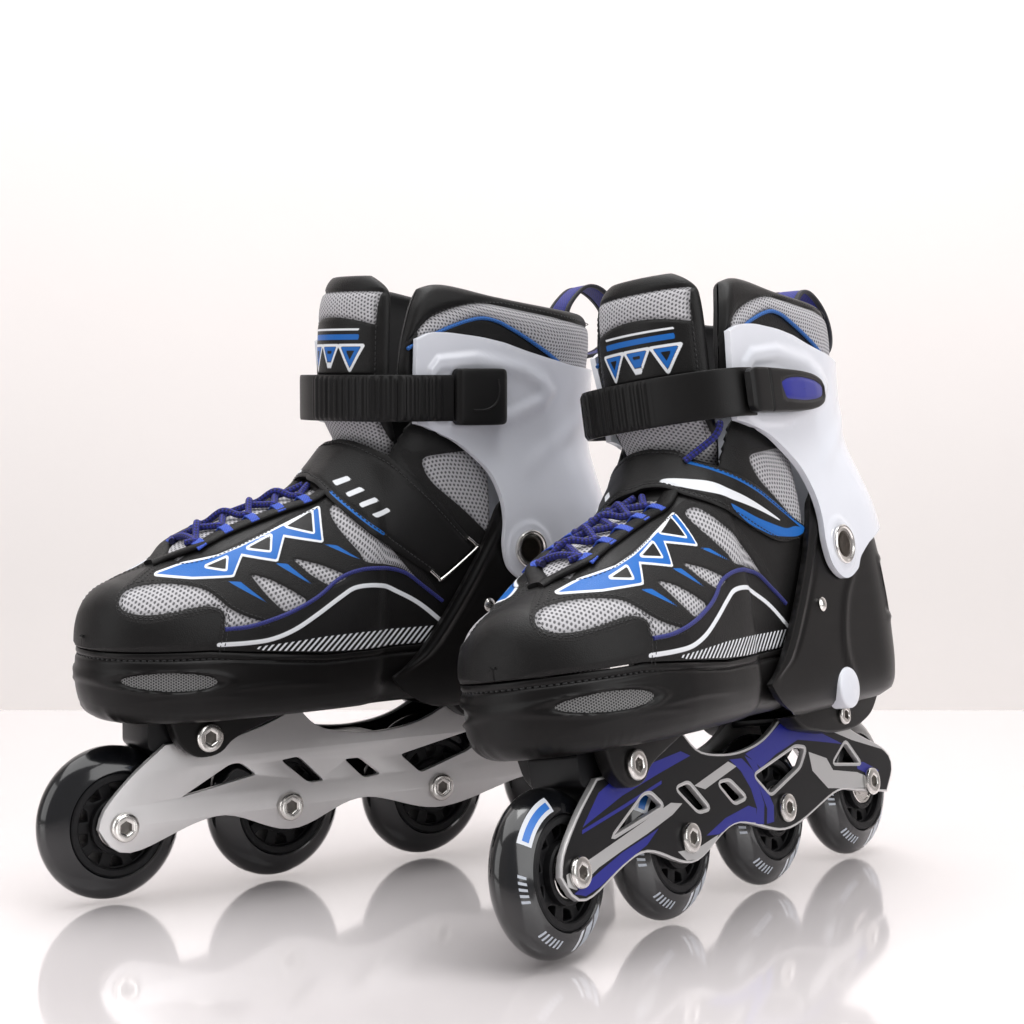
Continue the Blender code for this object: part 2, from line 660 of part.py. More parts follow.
class Skate:
    """One skate: its empty, and the pieces placed under it."""

    def __init__(self, side, materials):
        self.side = side
        self.materials = materials
        self.left = side == "left"
        self.empty = bpy.data.objects.new(f"{side}_skate", None)
        bpy.context.collection.objects.link(self.empty)

    def add(self, name, mesh, slot, at=(0, 0, 0), mirror=True, smooth=True):
        """Place a piece that was drawn in the left skate's frame, with its origin at a point."""
        mesh = mesh.copy() if self.left or not mirror else mirrored(mesh)
        x, y, z = at
        if not self.left:
            y = -y
        origin = Vector((x, y, z)) * MM
        mesh.transform(Matrix.Translation(-origin))
        mesh.materials.clear()
        mesh.materials.append(self.materials[slot])
        if smooth:
            mesh.shade_smooth()
            mesh.set_sharp_from_angle(angle=radians(35))
        ob = bpy.data.objects.new(f"{self.side}_{name}", mesh)
        bpy.context.collection.objects.link(ob)
        ob.parent = self.empty
        ob.location = origin
        return ob

    def add_wheel(self, number, parts):
        """Tyre, hub and axle share their meshes with the other wheels."""
        for kind, slot in (("tyre", "tyre"), ("hub", "hub"), ("axle", "steel")):
            mesh = parts[kind]
            if not mesh.materials:
                mesh.materials.append(self.materials[slot])
                mesh.shade_smooth()
                mesh.set_sharp_from_angle(angle=radians(35))
            ob = bpy.data.objects.new(f"{self.side}_{kind}_{number}", mesh)
            bpy.context.collection.objects.link(ob)
            ob.parent = self.empty
            ob.location = Vector((AXLES_X[number - 1], 0, WHEEL_RADIUS)) * MM


def shapes():
    """Every shape of the left skate as a mesh in the skate's frame."""
    objects = {
        "tyre": make_tyre(), "hub": make_hub(),
        "axle": make_bolt("axle", AXLE_RADIUS, PLATE_OUTER + GAP),
        "front_mount_bolt": make_bolt("front_mount_bolt", BOLT_RADIUS, EAR_OUTER + GAP),
        "rear_mount_bolt": make_bolt("rear_mount_bolt", BOLT_RADIUS, SKIRT_OUTER + GAP, head_radius=5.0),
        "chassis": make_chassis(), "toe_shell": make_toe_shell(), "heel_shell": make_heel_shell(),
        "footbed": make_footbed(), "upper": make_upper(), "tongue": make_tongue(),
        "cuff": make_cuff(), "pivot": make_pivot(), "collar": make_collar(),
        "ankle_strap": make_ankle_strap(), "buckle_lever": make_buckle_lever(),
        "catch_body": make_catch(), "instep_strap": make_instep_strap(),
        "size_button": make_size_button(), "lace": make_lace()}
    meshes = {}
    for name, ob in objects.items():
        meshes[name] = ob.data
        bpy.data.objects.remove(ob)
    for name, (x, z) in (("front_mount_bolt", FRONT_BOLT), ("rear_mount_bolt", REAR_BOLT)):
        meshes[name].transform(Matrix.Translation(Vector((x, 0, z)) * MM))
    return meshes


def build_skate(side, meshes, materials):
    skate = Skate(side, materials)
    skate.add("chassis", meshes["chassis"], "plate")
    for number in (1, 2, 3, 4):
        skate.add_wheel(number, meshes)
    at_pivot = (PIVOT[0], 0, PIVOT[1])
    skate.add("front_mount_bolt", meshes["front_mount_bolt"], "steel", (FRONT_BOLT[0], 0, FRONT_BOLT[1]))
    skate.add("rear_mount_bolt", meshes["rear_mount_bolt"], "steel", (REAR_BOLT[0], 0, REAR_BOLT[1]))
    skate.add("toe_shell", meshes["toe_shell"], "black_shell")
    skate.add("heel_shell", meshes["heel_shell"], "black_shell")
    skate.add("footbed", meshes["footbed"], "black_fabric")
    skate.add("upper", meshes["upper"], "mesh_fabric")
    skate.add("tongue", meshes["tongue"], "mesh_fabric")
    skate.add("instep_strap", meshes["instep_strap"], "black_leather")
    skate.add("lace", meshes["lace"], "blue_cord")
    skate.add("cuff", meshes["cuff"], "white_shell", at_pivot)
    skate.add("collar", meshes["collar"], "black_fabric", at_pivot)
    skate.add("ankle_strap", meshes["ankle_strap"], "black_shell", at_pivot)
    skate.add("catch_body", meshes["catch_body"], "black_shell", at_pivot)
    skate.add("buckle_lever", meshes["buckle_lever"], "black_shell", (*LEVER_PIVOT, STRAP_LOW_Z))
    skate.add("size_button", meshes["size_button"], "white_shell", (BUTTON[0], 44, BUTTON[1]))
    lateral, medial = meshes["pivot"], mirrored(meshes["pivot"])
    skate.add("cuff_pivot_lateral", lateral, "steel", at_pivot)
    skate.add("cuff_pivot_medial", medial, "steel", at_pivot)
    return skate


def world_points(empty):
    graph = bpy.context.evaluated_depsgraph_get()
    return [ob.matrix_world @ v.co for ob in empty.children_recursive if ob.type == "MESH"
            for v in ob.evaluated_get(graph).data.vertices]


def main():
    for ob in list(bpy.data.objects):
        bpy.data.objects.remove(ob)
    materials = {name: finish(name) for name in FINISHES}
    meshes = shapes()
    right = build_skate("right", meshes, materials)
    left = build_skate("left", meshes, materials)
    right.empty.rotation_euler = (0, 0, radians(-TOE_OUT))
    left.empty.rotation_euler = (radians(LEFT_LEAN), 0, radians(TOE_OUT))
    left.empty.location = Vector((*LEFT_PLACE, 0)) * MM
    pair = bpy.data.objects.new("pair", None)
    bpy.context.collection.objects.link(pair)
    for skate in (right, left):
        skate.empty.parent = pair
        bpy.context.view_layer.update()
        skate.empty.location.z -= min(p.z for p in world_points(skate.empty))
    bpy.context.view_layer.update()
    points = world_points(pair)
    for axis in (0, 1):
        values = [p[axis] for p in points]
        pair.location[axis] = -(min(values) + max(values)) / 2
    bpy.context.view_layer.update()


main()
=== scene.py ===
import json
from contextlib import contextmanager
from math import cos, hypot, pi, radians, sin

import bmesh
import bpy
import numpy as np
from mathutils import Matrix, Vector
from mathutils.geometry import delaunay_2d_cdt


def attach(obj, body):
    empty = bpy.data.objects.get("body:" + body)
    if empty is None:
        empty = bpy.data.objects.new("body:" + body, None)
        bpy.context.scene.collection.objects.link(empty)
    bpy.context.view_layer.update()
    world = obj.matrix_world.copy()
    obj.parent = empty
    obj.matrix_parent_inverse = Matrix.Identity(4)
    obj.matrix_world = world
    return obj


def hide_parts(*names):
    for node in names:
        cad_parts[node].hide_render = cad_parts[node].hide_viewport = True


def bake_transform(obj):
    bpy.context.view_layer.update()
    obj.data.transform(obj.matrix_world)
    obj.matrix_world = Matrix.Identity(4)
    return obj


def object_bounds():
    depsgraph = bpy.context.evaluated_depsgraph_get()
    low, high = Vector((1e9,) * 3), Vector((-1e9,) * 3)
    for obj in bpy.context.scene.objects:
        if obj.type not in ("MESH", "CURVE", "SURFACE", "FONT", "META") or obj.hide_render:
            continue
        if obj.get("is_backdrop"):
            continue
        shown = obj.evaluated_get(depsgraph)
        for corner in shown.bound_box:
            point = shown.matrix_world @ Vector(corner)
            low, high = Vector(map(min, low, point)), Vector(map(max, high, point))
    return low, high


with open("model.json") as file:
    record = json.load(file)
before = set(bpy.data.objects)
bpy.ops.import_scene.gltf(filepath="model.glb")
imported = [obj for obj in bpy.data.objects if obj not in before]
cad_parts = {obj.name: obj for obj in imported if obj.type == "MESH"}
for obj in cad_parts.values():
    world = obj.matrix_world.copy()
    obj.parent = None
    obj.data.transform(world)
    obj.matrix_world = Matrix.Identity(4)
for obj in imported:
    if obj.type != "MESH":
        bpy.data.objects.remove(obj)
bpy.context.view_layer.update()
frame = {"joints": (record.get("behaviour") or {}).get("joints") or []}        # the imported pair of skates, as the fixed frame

mm = 0.001

# Everything below is drawn as the left skate, in millimetres: x forward from the front
# axle, y to the outer side, z up from the wheels' contact. The right skate is its mirror image.

joints = {j["name"]: j for j in frame["joints"]}


def skateMatrix(side):
    forward = Vector(joints[side + "_size_slide"]["axis"]).normalized()
    left = Vector(joints[side + "_wheel_1_spin"]["axis"]).normalized()
    up = forward.cross(left)
    origin = Vector(joints[side + "_wheel_1_spin"]["pos_m"]) - up * 0.036
    return Matrix.Translation(origin) @ Matrix((forward, left, up)).transposed().to_4x4()


skates = {side: skateMatrix(side) for side in ("left", "right")}


# curves

def unit(vectors):
    return vectors / np.maximum(np.linalg.norm(vectors, axis=-1, keepdims=True), 1e-9)


def runLength(path):
    # distance along a path at each of its points
    return np.concatenate([[0], np.cumsum(np.linalg.norm(np.diff(path, axis=0), axis=1))])


def bulged(value, power):
    # signed power, which squares off a circle's sine and cosine
    return (1 if value > 0 else -1) * abs(value) ** power


def spline(knots, count, closed=False):
    # evenly spread points on a Catmull-Rom curve
    knots = np.array(knots, float)
    n = len(knots)
    dense = []
    for i in range(n if closed else n - 1):
        if closed:
            a, b, c, d = (knots[(i + k) % n] for k in (-1, 0, 1, 2))
        else:
            b, c = knots[i], knots[i + 1]
            a = knots[i - 1] if i else b * 2 - c
            d = knots[i + 2] if i + 2 < n else c * 2 - b
        t = (np.arange(12) / 12)[:, None]
        dense.append(0.5 * (2 * b + (c - a) * t + (2 * a - 5 * b + 4 * c - d) * t * t
                            + (3 * b - a - 3 * c + d) * t * t * t))
    dense.append(knots[:1] if closed else knots[-1:])
    dense = np.concatenate(dense)
    length = runLength(dense)
    at = np.linspace(0, length[-1], count + 1 if closed else count)
    made = np.stack([np.interp(at, length, dense[:, k]) for k in range(dense.shape[1])], 1)
    return made[:-1] if closed else made


def along(x, knots):
    # smooth value at x through (x, value) knots; x may be an array
    knots = sorted(knots)
    kx = np.array([k[0] for k in knots], float)
    ky = np.array([k[1] for k in knots], float)
    slope = np.zeros(len(kx))
    slope[1:-1] = (ky[2:] - ky[:-2]) / (kx[2:] - kx[:-2])
    x = np.clip(np.asarray(x, float), kx[0], kx[-1])
    i = np.clip(np.searchsorted(kx, x, "right") - 1, 0, len(kx) - 2)
    w = kx[i + 1] - kx[i]
    t = (x - kx[i]) / w
    return ((2 * t**3 - 3 * t**2 + 1) * ky[i] + (t**3 - 2 * t**2 + t) * w * slope[i]
            + (3 * t**2 - 2 * t**3) * ky[i + 1] + (t**3 - t**2) * w * slope[i + 1])


def runs(*pieces):
    points = []
    for knots, count in pieces:
        points += [tuple(p) for p in spline(knots, count)[:-1]]
    return points


def segmentDistance(p, a, b):
    d = b - a
    t = np.clip(((p - a) @ d) / max(d @ d, 1e-9), 0, 1)
    return np.linalg.norm(p - a - t[..., None] * d, axis=-1)


def insideDistance(u, v, outline):
    # signed distance to a closed outline, positive inside
    p = np.stack([u, v], -1)
    outline = np.array(outline, float)
    best = np.full(u.shape, 1e9)
    inside = np.zeros(u.shape, bool)
    for a, b in zip(outline, np.roll(outline, -1, 0)):
        best = np.minimum(best, segmentDistance(p, a, b))
        if a[1] != b[1]:
            crosses = (a[1] > v) != (b[1] > v)
            inside ^= crosses & (u < (b[0] - a[0]) * (v - a[1]) / (b[1] - a[1]) + a[0])
    return np.where(inside, best, -best)


def insideAny(u, v, outlines):
    return np.maximum.reduce([insideDistance(u, v, outline) for outline in outlines])


def lineDistance(u, v, line):
    p = np.stack([u, v], -1)
    line = np.array(line, float)
    best = np.full(u.shape, 1e9)
    for a, b in zip(line[:-1], line[1:]):
        best = np.minimum(best, segmentDistance(p, a, b))
    return best


def step(value, low, high):
    t = np.clip((value - low) / (high - low), 0, 1)
    return t * t * (3 - 2 * t)


# meshes

@contextmanager
def editing(mesh):
    bm = bmesh.new()
    bm.from_mesh(mesh)
    yield bm
    bm.to_mesh(mesh)
    bm.free()


def meshFrom(name, points, faces, materials=(), uv=None, attributes=None, faceMaterial=None, angle=40):
    mesh = bpy.data.meshes.new(name)
    mesh.from_pydata((np.array(points, float).reshape(-1, 3) * mm).tolist(), [], faces)
    for m in materials:
        mesh.materials.append(m)
    if faceMaterial is not None:
        mesh.polygons.foreach_set("material_index", faceMaterial)
    if uv is not None:
        layer = mesh.uv_layers.new(name="threads")
        corners = np.zeros(len(mesh.loops), int)
        mesh.loops.foreach_get("vertex_index", corners)
        layer.data.foreach_set("uv", np.array(uv, float).reshape(-1, 2)[corners].ravel())
    for label, values in (attributes or {}).items():
        mesh.attributes.new(label, "FLOAT", "POINT").data.foreach_set("value", np.array(values, float).ravel())
    mesh.shade_smooth()
    if angle < 180:
        mesh.set_sharp_from_angle(angle=radians(angle))
    return mesh


def gridFaces(rows, columns, ring=False, capFirst=False, capLast=False):
    faces = []
    for r in range(rows - 1):
        for k in range(columns if ring else columns - 1):
            m = (k + 1) % columns
            faces.append((r * columns + k, r * columns + m, (r + 1) * columns + m, (r + 1) * columns + k))
    if capFirst:
        faces.append(tuple(reversed(range(columns))))
    if capLast:
        faces.append(tuple((rows - 1) * columns + k for k in range(columns)))
    return faces


def gridMesh(name, points, materials, ring=False, capFirst=False, capLast=False, uv=None,
             attributes=None, angle=40, outFrom=None, threads=True):
    points = np.array(points, float)
    rows, columns = points.shape[:2]
    if uv is None and threads:      # thread coordinates in mm, by length along and across
        du = np.linalg.norm(np.diff(points, axis=0), axis=2)
        dv = np.linalg.norm(np.diff(points, axis=1), axis=2)
        u = np.concatenate([np.zeros((1, columns)), np.cumsum(du, 0)])
        v = np.concatenate([np.zeros((rows, 1)), np.cumsum(dv, 1)], 1)
        v -= v[:, -1:] / 2
        uv = np.stack([u, v], -1)
    mesh = meshFrom(name, points, gridFaces(rows, columns, ring, capFirst, capLast), materials,
                    uv, attributes, angle=angle)
    turnOut(mesh, outFrom)
    return mesh


def turnOut(mesh, outFrom=None):
    # face outwards: away from a point in mm, or as Blender works it out
    if outFrom is None:
        with editing(mesh) as bm:
            bmesh.ops.recalc_face_normals(bm, faces=bm.faces)
    else:
        centre = Vector(outFrom) * mm
        if sum(f.normal.dot(f.center - centre) * f.area for f in mesh.polygons) < 0:
            mesh.flip_normals()
    return mesh


def refined(mesh, *steps):
    # run modifiers on a mesh and keep the result
    work = bpy.data.objects.new("work", mesh)
    bpy.context.collection.objects.link(work)
    for kind, values in steps:
        modifier = work.modifiers.new(kind.lower(), kind)
        for key, value in values.items():
            setattr(modifier, key, value)
    graph = bpy.context.evaluated_depsgraph_get()
    made = bpy.data.meshes.new_from_object(work.evaluated_get(graph))
    bpy.data.objects.remove(work)
    return made


def walled(mesh, thickness, edge, offset=-1.0, segments=3):
    # a surface given a wall and rounded edges
    return refined(mesh, ("SOLIDIFY", {"thickness": thickness * mm, "offset": offset}),
                   ("BEVEL", {"width": edge * mm, "segments": segments, "limit_method": "ANGLE",
                              "angle_limit": radians(50), "harden_normals": False}))


def joined(name, *meshes):
    # several meshes as one, each keeping its own materials
    bm = bmesh.new()
    materials = []
    for mesh in meshes:
        start = len(bm.faces)
        bm.from_mesh(mesh)
        bm.faces.ensure_lookup_table()
        for m in mesh.materials:
            if m not in materials:
                materials.append(m)
        places = [materials.index(m) for m in mesh.materials] or [0]
        for face in bm.faces[start:]:
            face.material_index = places[min(face.material_index, len(places) - 1)]
    made = bpy.data.meshes.new(name)
    bm.to_mesh(made)
    bm.free()
    for m in materials:
        made.materials.append(m)
    return made


def turned(name, profile, materials, steps=72, wobble=None, angle=35, closed=False):
    # a body turned about the y axis from (radius, y) points; a closed profile makes a ring
    rows = []
    for k in range(steps):
        a = 2 * pi * k / steps
        row = []
        for i, (r, y) in enumerate(profile):
            if wobble:
                r = wobble(i, a, r)
            row.append((r * sin(a), y, -r * cos(a)))
        rows.append(row)
    rows = np.array(rows)
    uv = np.zeros((steps, len(profile), 2))
    uv[..., 0] = (np.arange(steps) * 2 * pi / steps)[:, None] * max(p[0] for p in profile)
    uv[..., 1] = np.cumsum([0] + [hypot(b[0] - a[0], b[1] - a[1]) for a, b in zip(profile, profile[1:])])
    points = rows.reshape(-1, 3)
    n = len(profile)
    faces = []
    for k in range(steps):
        m = (k + 1) % steps
        for i in range(n if closed else n - 1):
            j = (i + 1) % n
            faces.append((k * n + i, k * n + j, m * n + j, m * n + i))
    if not closed and profile[0][0] > 0.01:
        faces.append(tuple(k * n for k in range(steps)))
    if not closed and profile[-1][0] > 0.01:
        faces.append(tuple(k * n + n - 1 for k in reversed(range(steps))))
    mesh = meshFrom(name, points, faces, materials, uv.reshape(-1, 2), angle=angle)
    return turnOut(mesh)


def flatShape(name, outlines, y0, y1, materials, bevel=0.4, segments=2):
    # (x, z) outlines, the first outside and the others cut out of it, as a plate from y0 to y1
    curve = bpy.data.curves.new(name, "CURVE")
    curve.dimensions = "2D"
    curve.fill_mode = "BOTH"
    curve.extrude = (abs(y1 - y0) / 2 - bevel) * mm
    curve.bevel_depth = bevel * mm
    curve.bevel_resolution = segments
    for outline in outlines:
        line = curve.splines.new("POLY")
        line.points.add(len(outline) - 1)
        line.use_cyclic_u = True
        for point, (x, z) in zip(line.points, outline):
            point.co = (x * mm, z * mm, 0, 1)
    work = bpy.data.objects.new("work", curve)
    bpy.context.collection.objects.link(work)
    graph = bpy.context.evaluated_depsgraph_get()
    mesh = bpy.data.meshes.new_from_object(work.evaluated_get(graph))
    bpy.data.objects.remove(work)
    mesh.transform(Matrix.Translation((0, (y0 + y1) / 2 * mm, 0)) @ Matrix.Rotation(pi / 2, 4, "X"))
    with editing(mesh) as bm:
        bmesh.ops.remove_doubles(bm, verts=bm.verts, dist=1e-6)
        bmesh.ops.recalc_face_normals(bm, faces=bm.faces)
    mesh.materials.clear()
    for m in materials:
        mesh.materials.append(m)
    mesh.shade_smooth()
    mesh.set_sharp_from_angle(angle=radians(28))
    return mesh


def grown(outline, distance):
    # move every point of an outline outwards, or inwards where distance is negative
    points = np.array(outline, float)
    before, after = np.roll(points, 1, 0), np.roll(points, -1, 0)
    d1, d2 = unit(points - before), unit(after - points)
    n = unit(np.stack([d1[:, 1] + d2[:, 1], -d1[:, 0] - d2[:, 0]], 1))
    area = np.sum(points[:, 0] * after[:, 1] - after[:, 0] * points[:, 1])
    corner = np.clip(np.sum(n * np.stack([d1[:, 1], -d1[:, 0]], 1), axis=1, keepdims=True), 0.5, 1)
    return points + n / corner * distance * (1 if area > 0 else -1)


def rounded(outline, radius, count=5):
    # an outline with its corners rounded off
    points = np.array(outline, float)
    made = []
    for before, p, after in zip(np.roll(points, 1, 0), points, np.roll(points, -1, 0)):
        a, b = before - p, after - p
        la, lb = np.linalg.norm(a), np.linalg.norm(b)
        reach = min(radius, la * 0.45, lb * 0.45)
        a, b = p + a / la * reach, p + b / lb * reach
        for t in np.linspace(0, 1, count):
            made.append(tuple((1 - t) ** 2 * a + 2 * t * (1 - t) * p + t * t * b))
    return made


def printedSheet(name, layers, place, keep, drop=()):
    # flat printed film: layers are (outline, material index), later ones on top
    points, faces, marks = [], [], []
    for outline, mark in layers + [(d, -1) for d in drop]:
        faces.append(list(range(len(points), len(points) + len(outline))))
        points += [Vector((float(p[0]), float(p[1]))) for p in outline]
        marks.append(mark)
    verts, _, tris, _, _, owners = delaunay_2d_cdt(points, [], faces, 1, 1e-5)
    chosen, marked = [], []
    for tri, owner in zip(tris, owners):
        top = marks[max(owner)]
        if 0 not in owner or top < 0:
            continue
        chosen.append(tuple(tri))
        marked.append(top)
    return meshFrom(name, [place(v.x, v.y) for v in verts], chosen, keep, faceMaterial=marked, angle=180)


def tube(name, path, radius, materials, sides=10, flat=1.0, widths=None, up=None):
    # a cord along a path, its thread coordinates by length and turn
    path = np.array(path, float)
    tangent = unit(np.gradient(path, axis=0))
    rows, uv = [], []
    normal = np.array(up if up is not None else (0.1, 0.2, 1.0), float)
    length = 0.0
    for i, (p, t) in enumerate(zip(path, tangent)):
        guide = np.array(up[i] if up is not None and np.ndim(up) == 2 else normal, float)
        normal = guide - t * (guide @ t)
        normal /= max(np.linalg.norm(normal), 1e-9)
        side = np.cross(t, normal)
        r = radius if widths is None else radius * widths[i]
        if i:
            length += np.linalg.norm(path[i] - path[i - 1])
        row = []
        for k in range(sides):
            a = 2 * pi * k / sides
            row.append(p + side * cos(a) * r + normal * sin(a) * r * flat)
            uv.append((length, k / sides * 2 * pi * radius))
        rows.append(row)
    mesh = meshFrom(name, rows, gridFaces(len(rows), sides, True, True, True), materials, uv, angle=60)
    return turnOut(mesh)


def dashes(name, path, normals, materials, pitch=2.4, size=1.6, width=0.5, height=0.3, offset=0.0):
    # a row of stitches along a path that lies on a surface
    path = np.array(path, float)
    normals = np.array(normals, float)
    length = runLength(path)
    points, faces = [], []
    shape = [(-0.5, 0, 0), (-0.38, 0.5, 0.6), (-0.38, -0.5, 0.6), (0.38, 0.5, 0.6), (0.38, -0.5, 0.6), (0.5, 0, 0),
             (-0.3, 0, 1.0), (0.3, 0, 1.0)]
    skin = [(0, 2, 6), (0, 6, 1), (1, 6, 7, 3), (2, 4, 7, 6), (3, 7, 5), (4, 5, 7), (1, 3, 5, 0), (0, 5, 4, 2)]
    for s in np.arange(pitch / 2, length[-1], pitch):
        p = np.array([np.interp(s, length, path[:, k]) for k in range(3)])
        q = np.array([np.interp(min(s + 0.8, length[-1]), length, path[:, k]) for k in range(3)])
        n = np.array([np.interp(s, length, normals[:, k]) for k in range(3)])
        t = q - p
        if np.linalg.norm(t) < 1e-6:
            continue
        t /= np.linalg.norm(t)
        n -= t * (n @ t)
        n /= max(np.linalg.norm(n), 1e-9)
        side = np.cross(n, t)
        base = len(points)
        for a, b, c in shape:
            points.append(p + t * a * size + side * (b * width + offset) + n * (c * height - 0.05))
        faces += [tuple(base + i for i in f) for f in skin]
    return meshFrom(name, points, faces, materials, angle=180)


def mirrored(mesh):
    copy = mesh.copy()
    copy.transform(Matrix.Scale(-1, 4, (0, 1, 0)))
    copy.flip_normals()
    return copy


def pair(name, mesh, body, stands=(), at=(0, 0, 0), sides=("left", "right"), bend=None):
    # one piece for each skate, riding on that skate's body; given bend points, the piece is left unparented where
    # it stands and the points are not used
    made = []
    for side in sides:
        ob = bpy.data.objects.new(side + name, mesh.copy() if side == "left" else mirrored(mesh))
        bpy.context.collection.objects.link(ob)
        place = Vector(at) * mm
        if side == "right":
            place.y = -place.y
        ob.matrix_world = skates[side] @ Matrix.Translation(place)
        if bend:
            start, end = (skates[side] @ (Vector(p) * mm) for p in bend)
            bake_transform(ob)
            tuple(start)
            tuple(end)
        else:
            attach(ob, side + "_" + body)
        if stands:
            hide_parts(*[side + "_" + n for n in stands])
        made.append(ob)
    return made


# shader nodes

def node(tree, kind, **values):
    made = tree.nodes.new("ShaderNode" + kind)
    for key, value in values.items():
        setattr(made, key, value)
    return made


def feed(tree, socket, value):
    if isinstance(value, bpy.types.NodeSocket):
        tree.links.new(value, socket)
    else:
        socket.default_value = value


def calc(tree, operation, a, b=0.0, c=0.0, clamp=False):
    made = node(tree, "Math", operation=operation, use_clamp=clamp)
    for socket, value in zip(made.inputs, (a, b, c)):
        feed(tree, socket, value)
    return made.outputs[0]


def vec(tree, operation, a, b=(0, 0, 0), out=0):
    made = node(tree, "VectorMath", operation=operation)
    feed(tree, made.inputs[0], a)
    if operation == "SCALE":
        feed(tree, made.inputs["Scale"], b)
    else:
        feed(tree, made.inputs[1], b)
    return made.outputs[out]


def mixed(tree, share, a, b, kind="RGBA"):
    made = node(tree, "Mix", data_type=kind)
    first = 6 if kind == "RGBA" else 2
    for index, value in ((0, share), (first, a), (first + 1, b)):
        feed(tree, made.inputs[index], value)
    return made.outputs[2 if kind == "RGBA" else 0]


def smooth(tree, value, low, high, outLow=0.0, outHigh=1.0):
    made = node(tree, "MapRange", interpolation_type="SMOOTHSTEP")
    for socket, v in zip(made.inputs, (value, low, high, outLow, outHigh)):
        feed(tree, socket, v)
    return made.outputs[0]


def noise(tree, vector, scale, detail=3.0, rough=0.55):
    made = node(tree, "TexNoise")
    for label, value in (("Vector", vector), ("Scale", scale), ("Detail", detail), ("Roughness", rough)):
        feed(tree, made.inputs[label], value)
    return made.outputs[0]


def cells(tree, vector, scale, feature="F1", out="Distance", randomness=1.0):
    made = node(tree, "TexVoronoi", feature=feature)
    for label, value in (("Vector", vector), ("Scale", scale), ("Randomness", randomness)):
        feed(tree, made.inputs[label], value)
    return made.outputs[out]


def newGroup(name, inputs, outputs):
    tree = bpy.data.node_groups.new(name, "ShaderNodeTree")
    for label, kind, value in inputs:
        socket = tree.interface.new_socket(label, in_out="INPUT", socket_type="NodeSocket" + kind)
        if value is not None:
            socket.default_value = value
    for label, kind in outputs:
        tree.interface.new_socket(label, in_out="OUTPUT", socket_type="NodeSocket" + kind)
    return tree, tree.nodes.new("NodeGroupInput").outputs, tree.nodes.new("NodeGroupOutput").inputs


def placed(tree, effect, **values):
    made = tree.nodes.new("ShaderNodeGroup")
    made.node_tree = effect
    for label, value in values.items():
        feed(tree, made.inputs[label], value)
    return made.outputs


# effects that several materials share

def makeAirMesh():
    # hexagonal holes of a knitted spacer mesh; Threads are mm
    tree, given, out = newGroup("airMesh", [("Threads", "Vector", None), ("Pitch", "Float", 2.4),
                                            ("Hole", "Float", 0.3)],
                                [("Mask", "Float"), ("Height", "Float")])
    cell = node(tree, "CombineXYZ")
    feed(tree, cell.inputs[0], given["Pitch"])
    feed(tree, cell.inputs[1], calc(tree, "MULTIPLY", given["Pitch"], 1.732))
    feed(tree, cell.inputs[2], 1.0)
    flat = vec(tree, "MULTIPLY", given["Threads"], (1, 1, 0))
    distances = []
    for shift in ((0, 0, 0), (0.5, 0.5, 0)):
        p = vec(tree, "ADD", vec(tree, "DIVIDE", flat, cell.outputs[0]), shift)
        p = vec(tree, "SUBTRACT", vec(tree, "FRACTION", p), (0.5, 0.5, 0))
        distances.append(vec(tree, "LENGTH", vec(tree, "MULTIPLY", p, (1, 1.732, 0)), out="Value"))
    near = calc(tree, "MINIMUM", *distances)
    hole = smooth(tree, near, calc(tree, "ADD", given["Hole"], 0.08), calc(tree, "SUBTRACT", given["Hole"], 0.06))
    fibre = noise(tree, vec(tree, "MULTIPLY", given["Threads"], (9, 3, 1)), 1.0, 2.0)
    feed(tree, out["Mask"], hole)
    feed(tree, out["Height"], calc(tree, "SUBTRACT", calc(tree, "MULTIPLY", fibre, 0.3), hole))
    return tree


def makeGrain():
    # pebbled grain of synthetic leather; Scale is grains per metre
    tree, given, out = newGroup("leatherGrain", [("Place", "Vector", None), ("Scale", "Float", 900.0)],
                                [("Height", "Float"), ("Crease", "Float")])
    warp = noise(tree, given["Place"], calc(tree, "MULTIPLY", given["Scale"], 0.4), 2.0)
    p = vec(tree, "ADD", given["Place"], vec(tree, "SCALE", vec(tree, "ADD", warp, (-0.5, -0.5, -0.5)), 0.0012))
    edge = cells(tree, p, given["Scale"], "DISTANCE_TO_EDGE")
    pebble = smooth(tree, edge, 0.0, 0.22)
    slow = noise(tree, given["Place"], 60.0, 3.0)
    feed(tree, out["Height"], calc(tree, "ADD", pebble, calc(tree, "MULTIPLY", slow, 0.8)))
    feed(tree, out["Crease"], calc(tree, "SUBTRACT", 1.0, pebble))
    return tree


def makeMould():
    # fine spark texture of moulded plastic, with slow waviness and faint scuffs
    tree, given, out = newGroup("mouldedSkin", [("Place", "Vector", None), ("Fineness", "Float", 2600.0)],
                                [("Height", "Float"), ("Scuff", "Float"), ("Cloud", "Float")])
    fine = noise(tree, given["Place"], given["Fineness"], 2.0, 0.6)
    wave = noise(tree, given["Place"], 38.0, 2.0)
    streaks = noise(tree, vec(tree, "MULTIPLY", given["Place"], (30, 220, 420)), 1.0, 4.0, 0.7)
    feed(tree, out["Height"], calc(tree, "ADD", fine, calc(tree, "MULTIPLY", wave, 1.5)))
    feed(tree, out["Scuff"], smooth(tree, streaks, 0.6, 0.78))
    feed(tree, out["Cloud"], wave)
    return tree


def makeEdgeWear():
    # where raised edges have rubbed
    tree, given, out = newGroup("edgeWear", [("Place", "Vector", None), ("Reach", "Float", 0.56)],
                                [("Mask", "Float")])
    edge = node(tree, "NewGeometry").outputs["Pointiness"]
    sharp = smooth(tree, edge, calc(tree, "SUBTRACT", given["Reach"], 0.04),
                   calc(tree, "ADD", given["Reach"], 0.06))
    patch = smooth(tree, noise(tree, given["Place"], 260.0, 4.0), 0.4, 0.62)
    feed(tree, out["Mask"], calc(tree, "MULTIPLY", sharp, patch))
    return tree


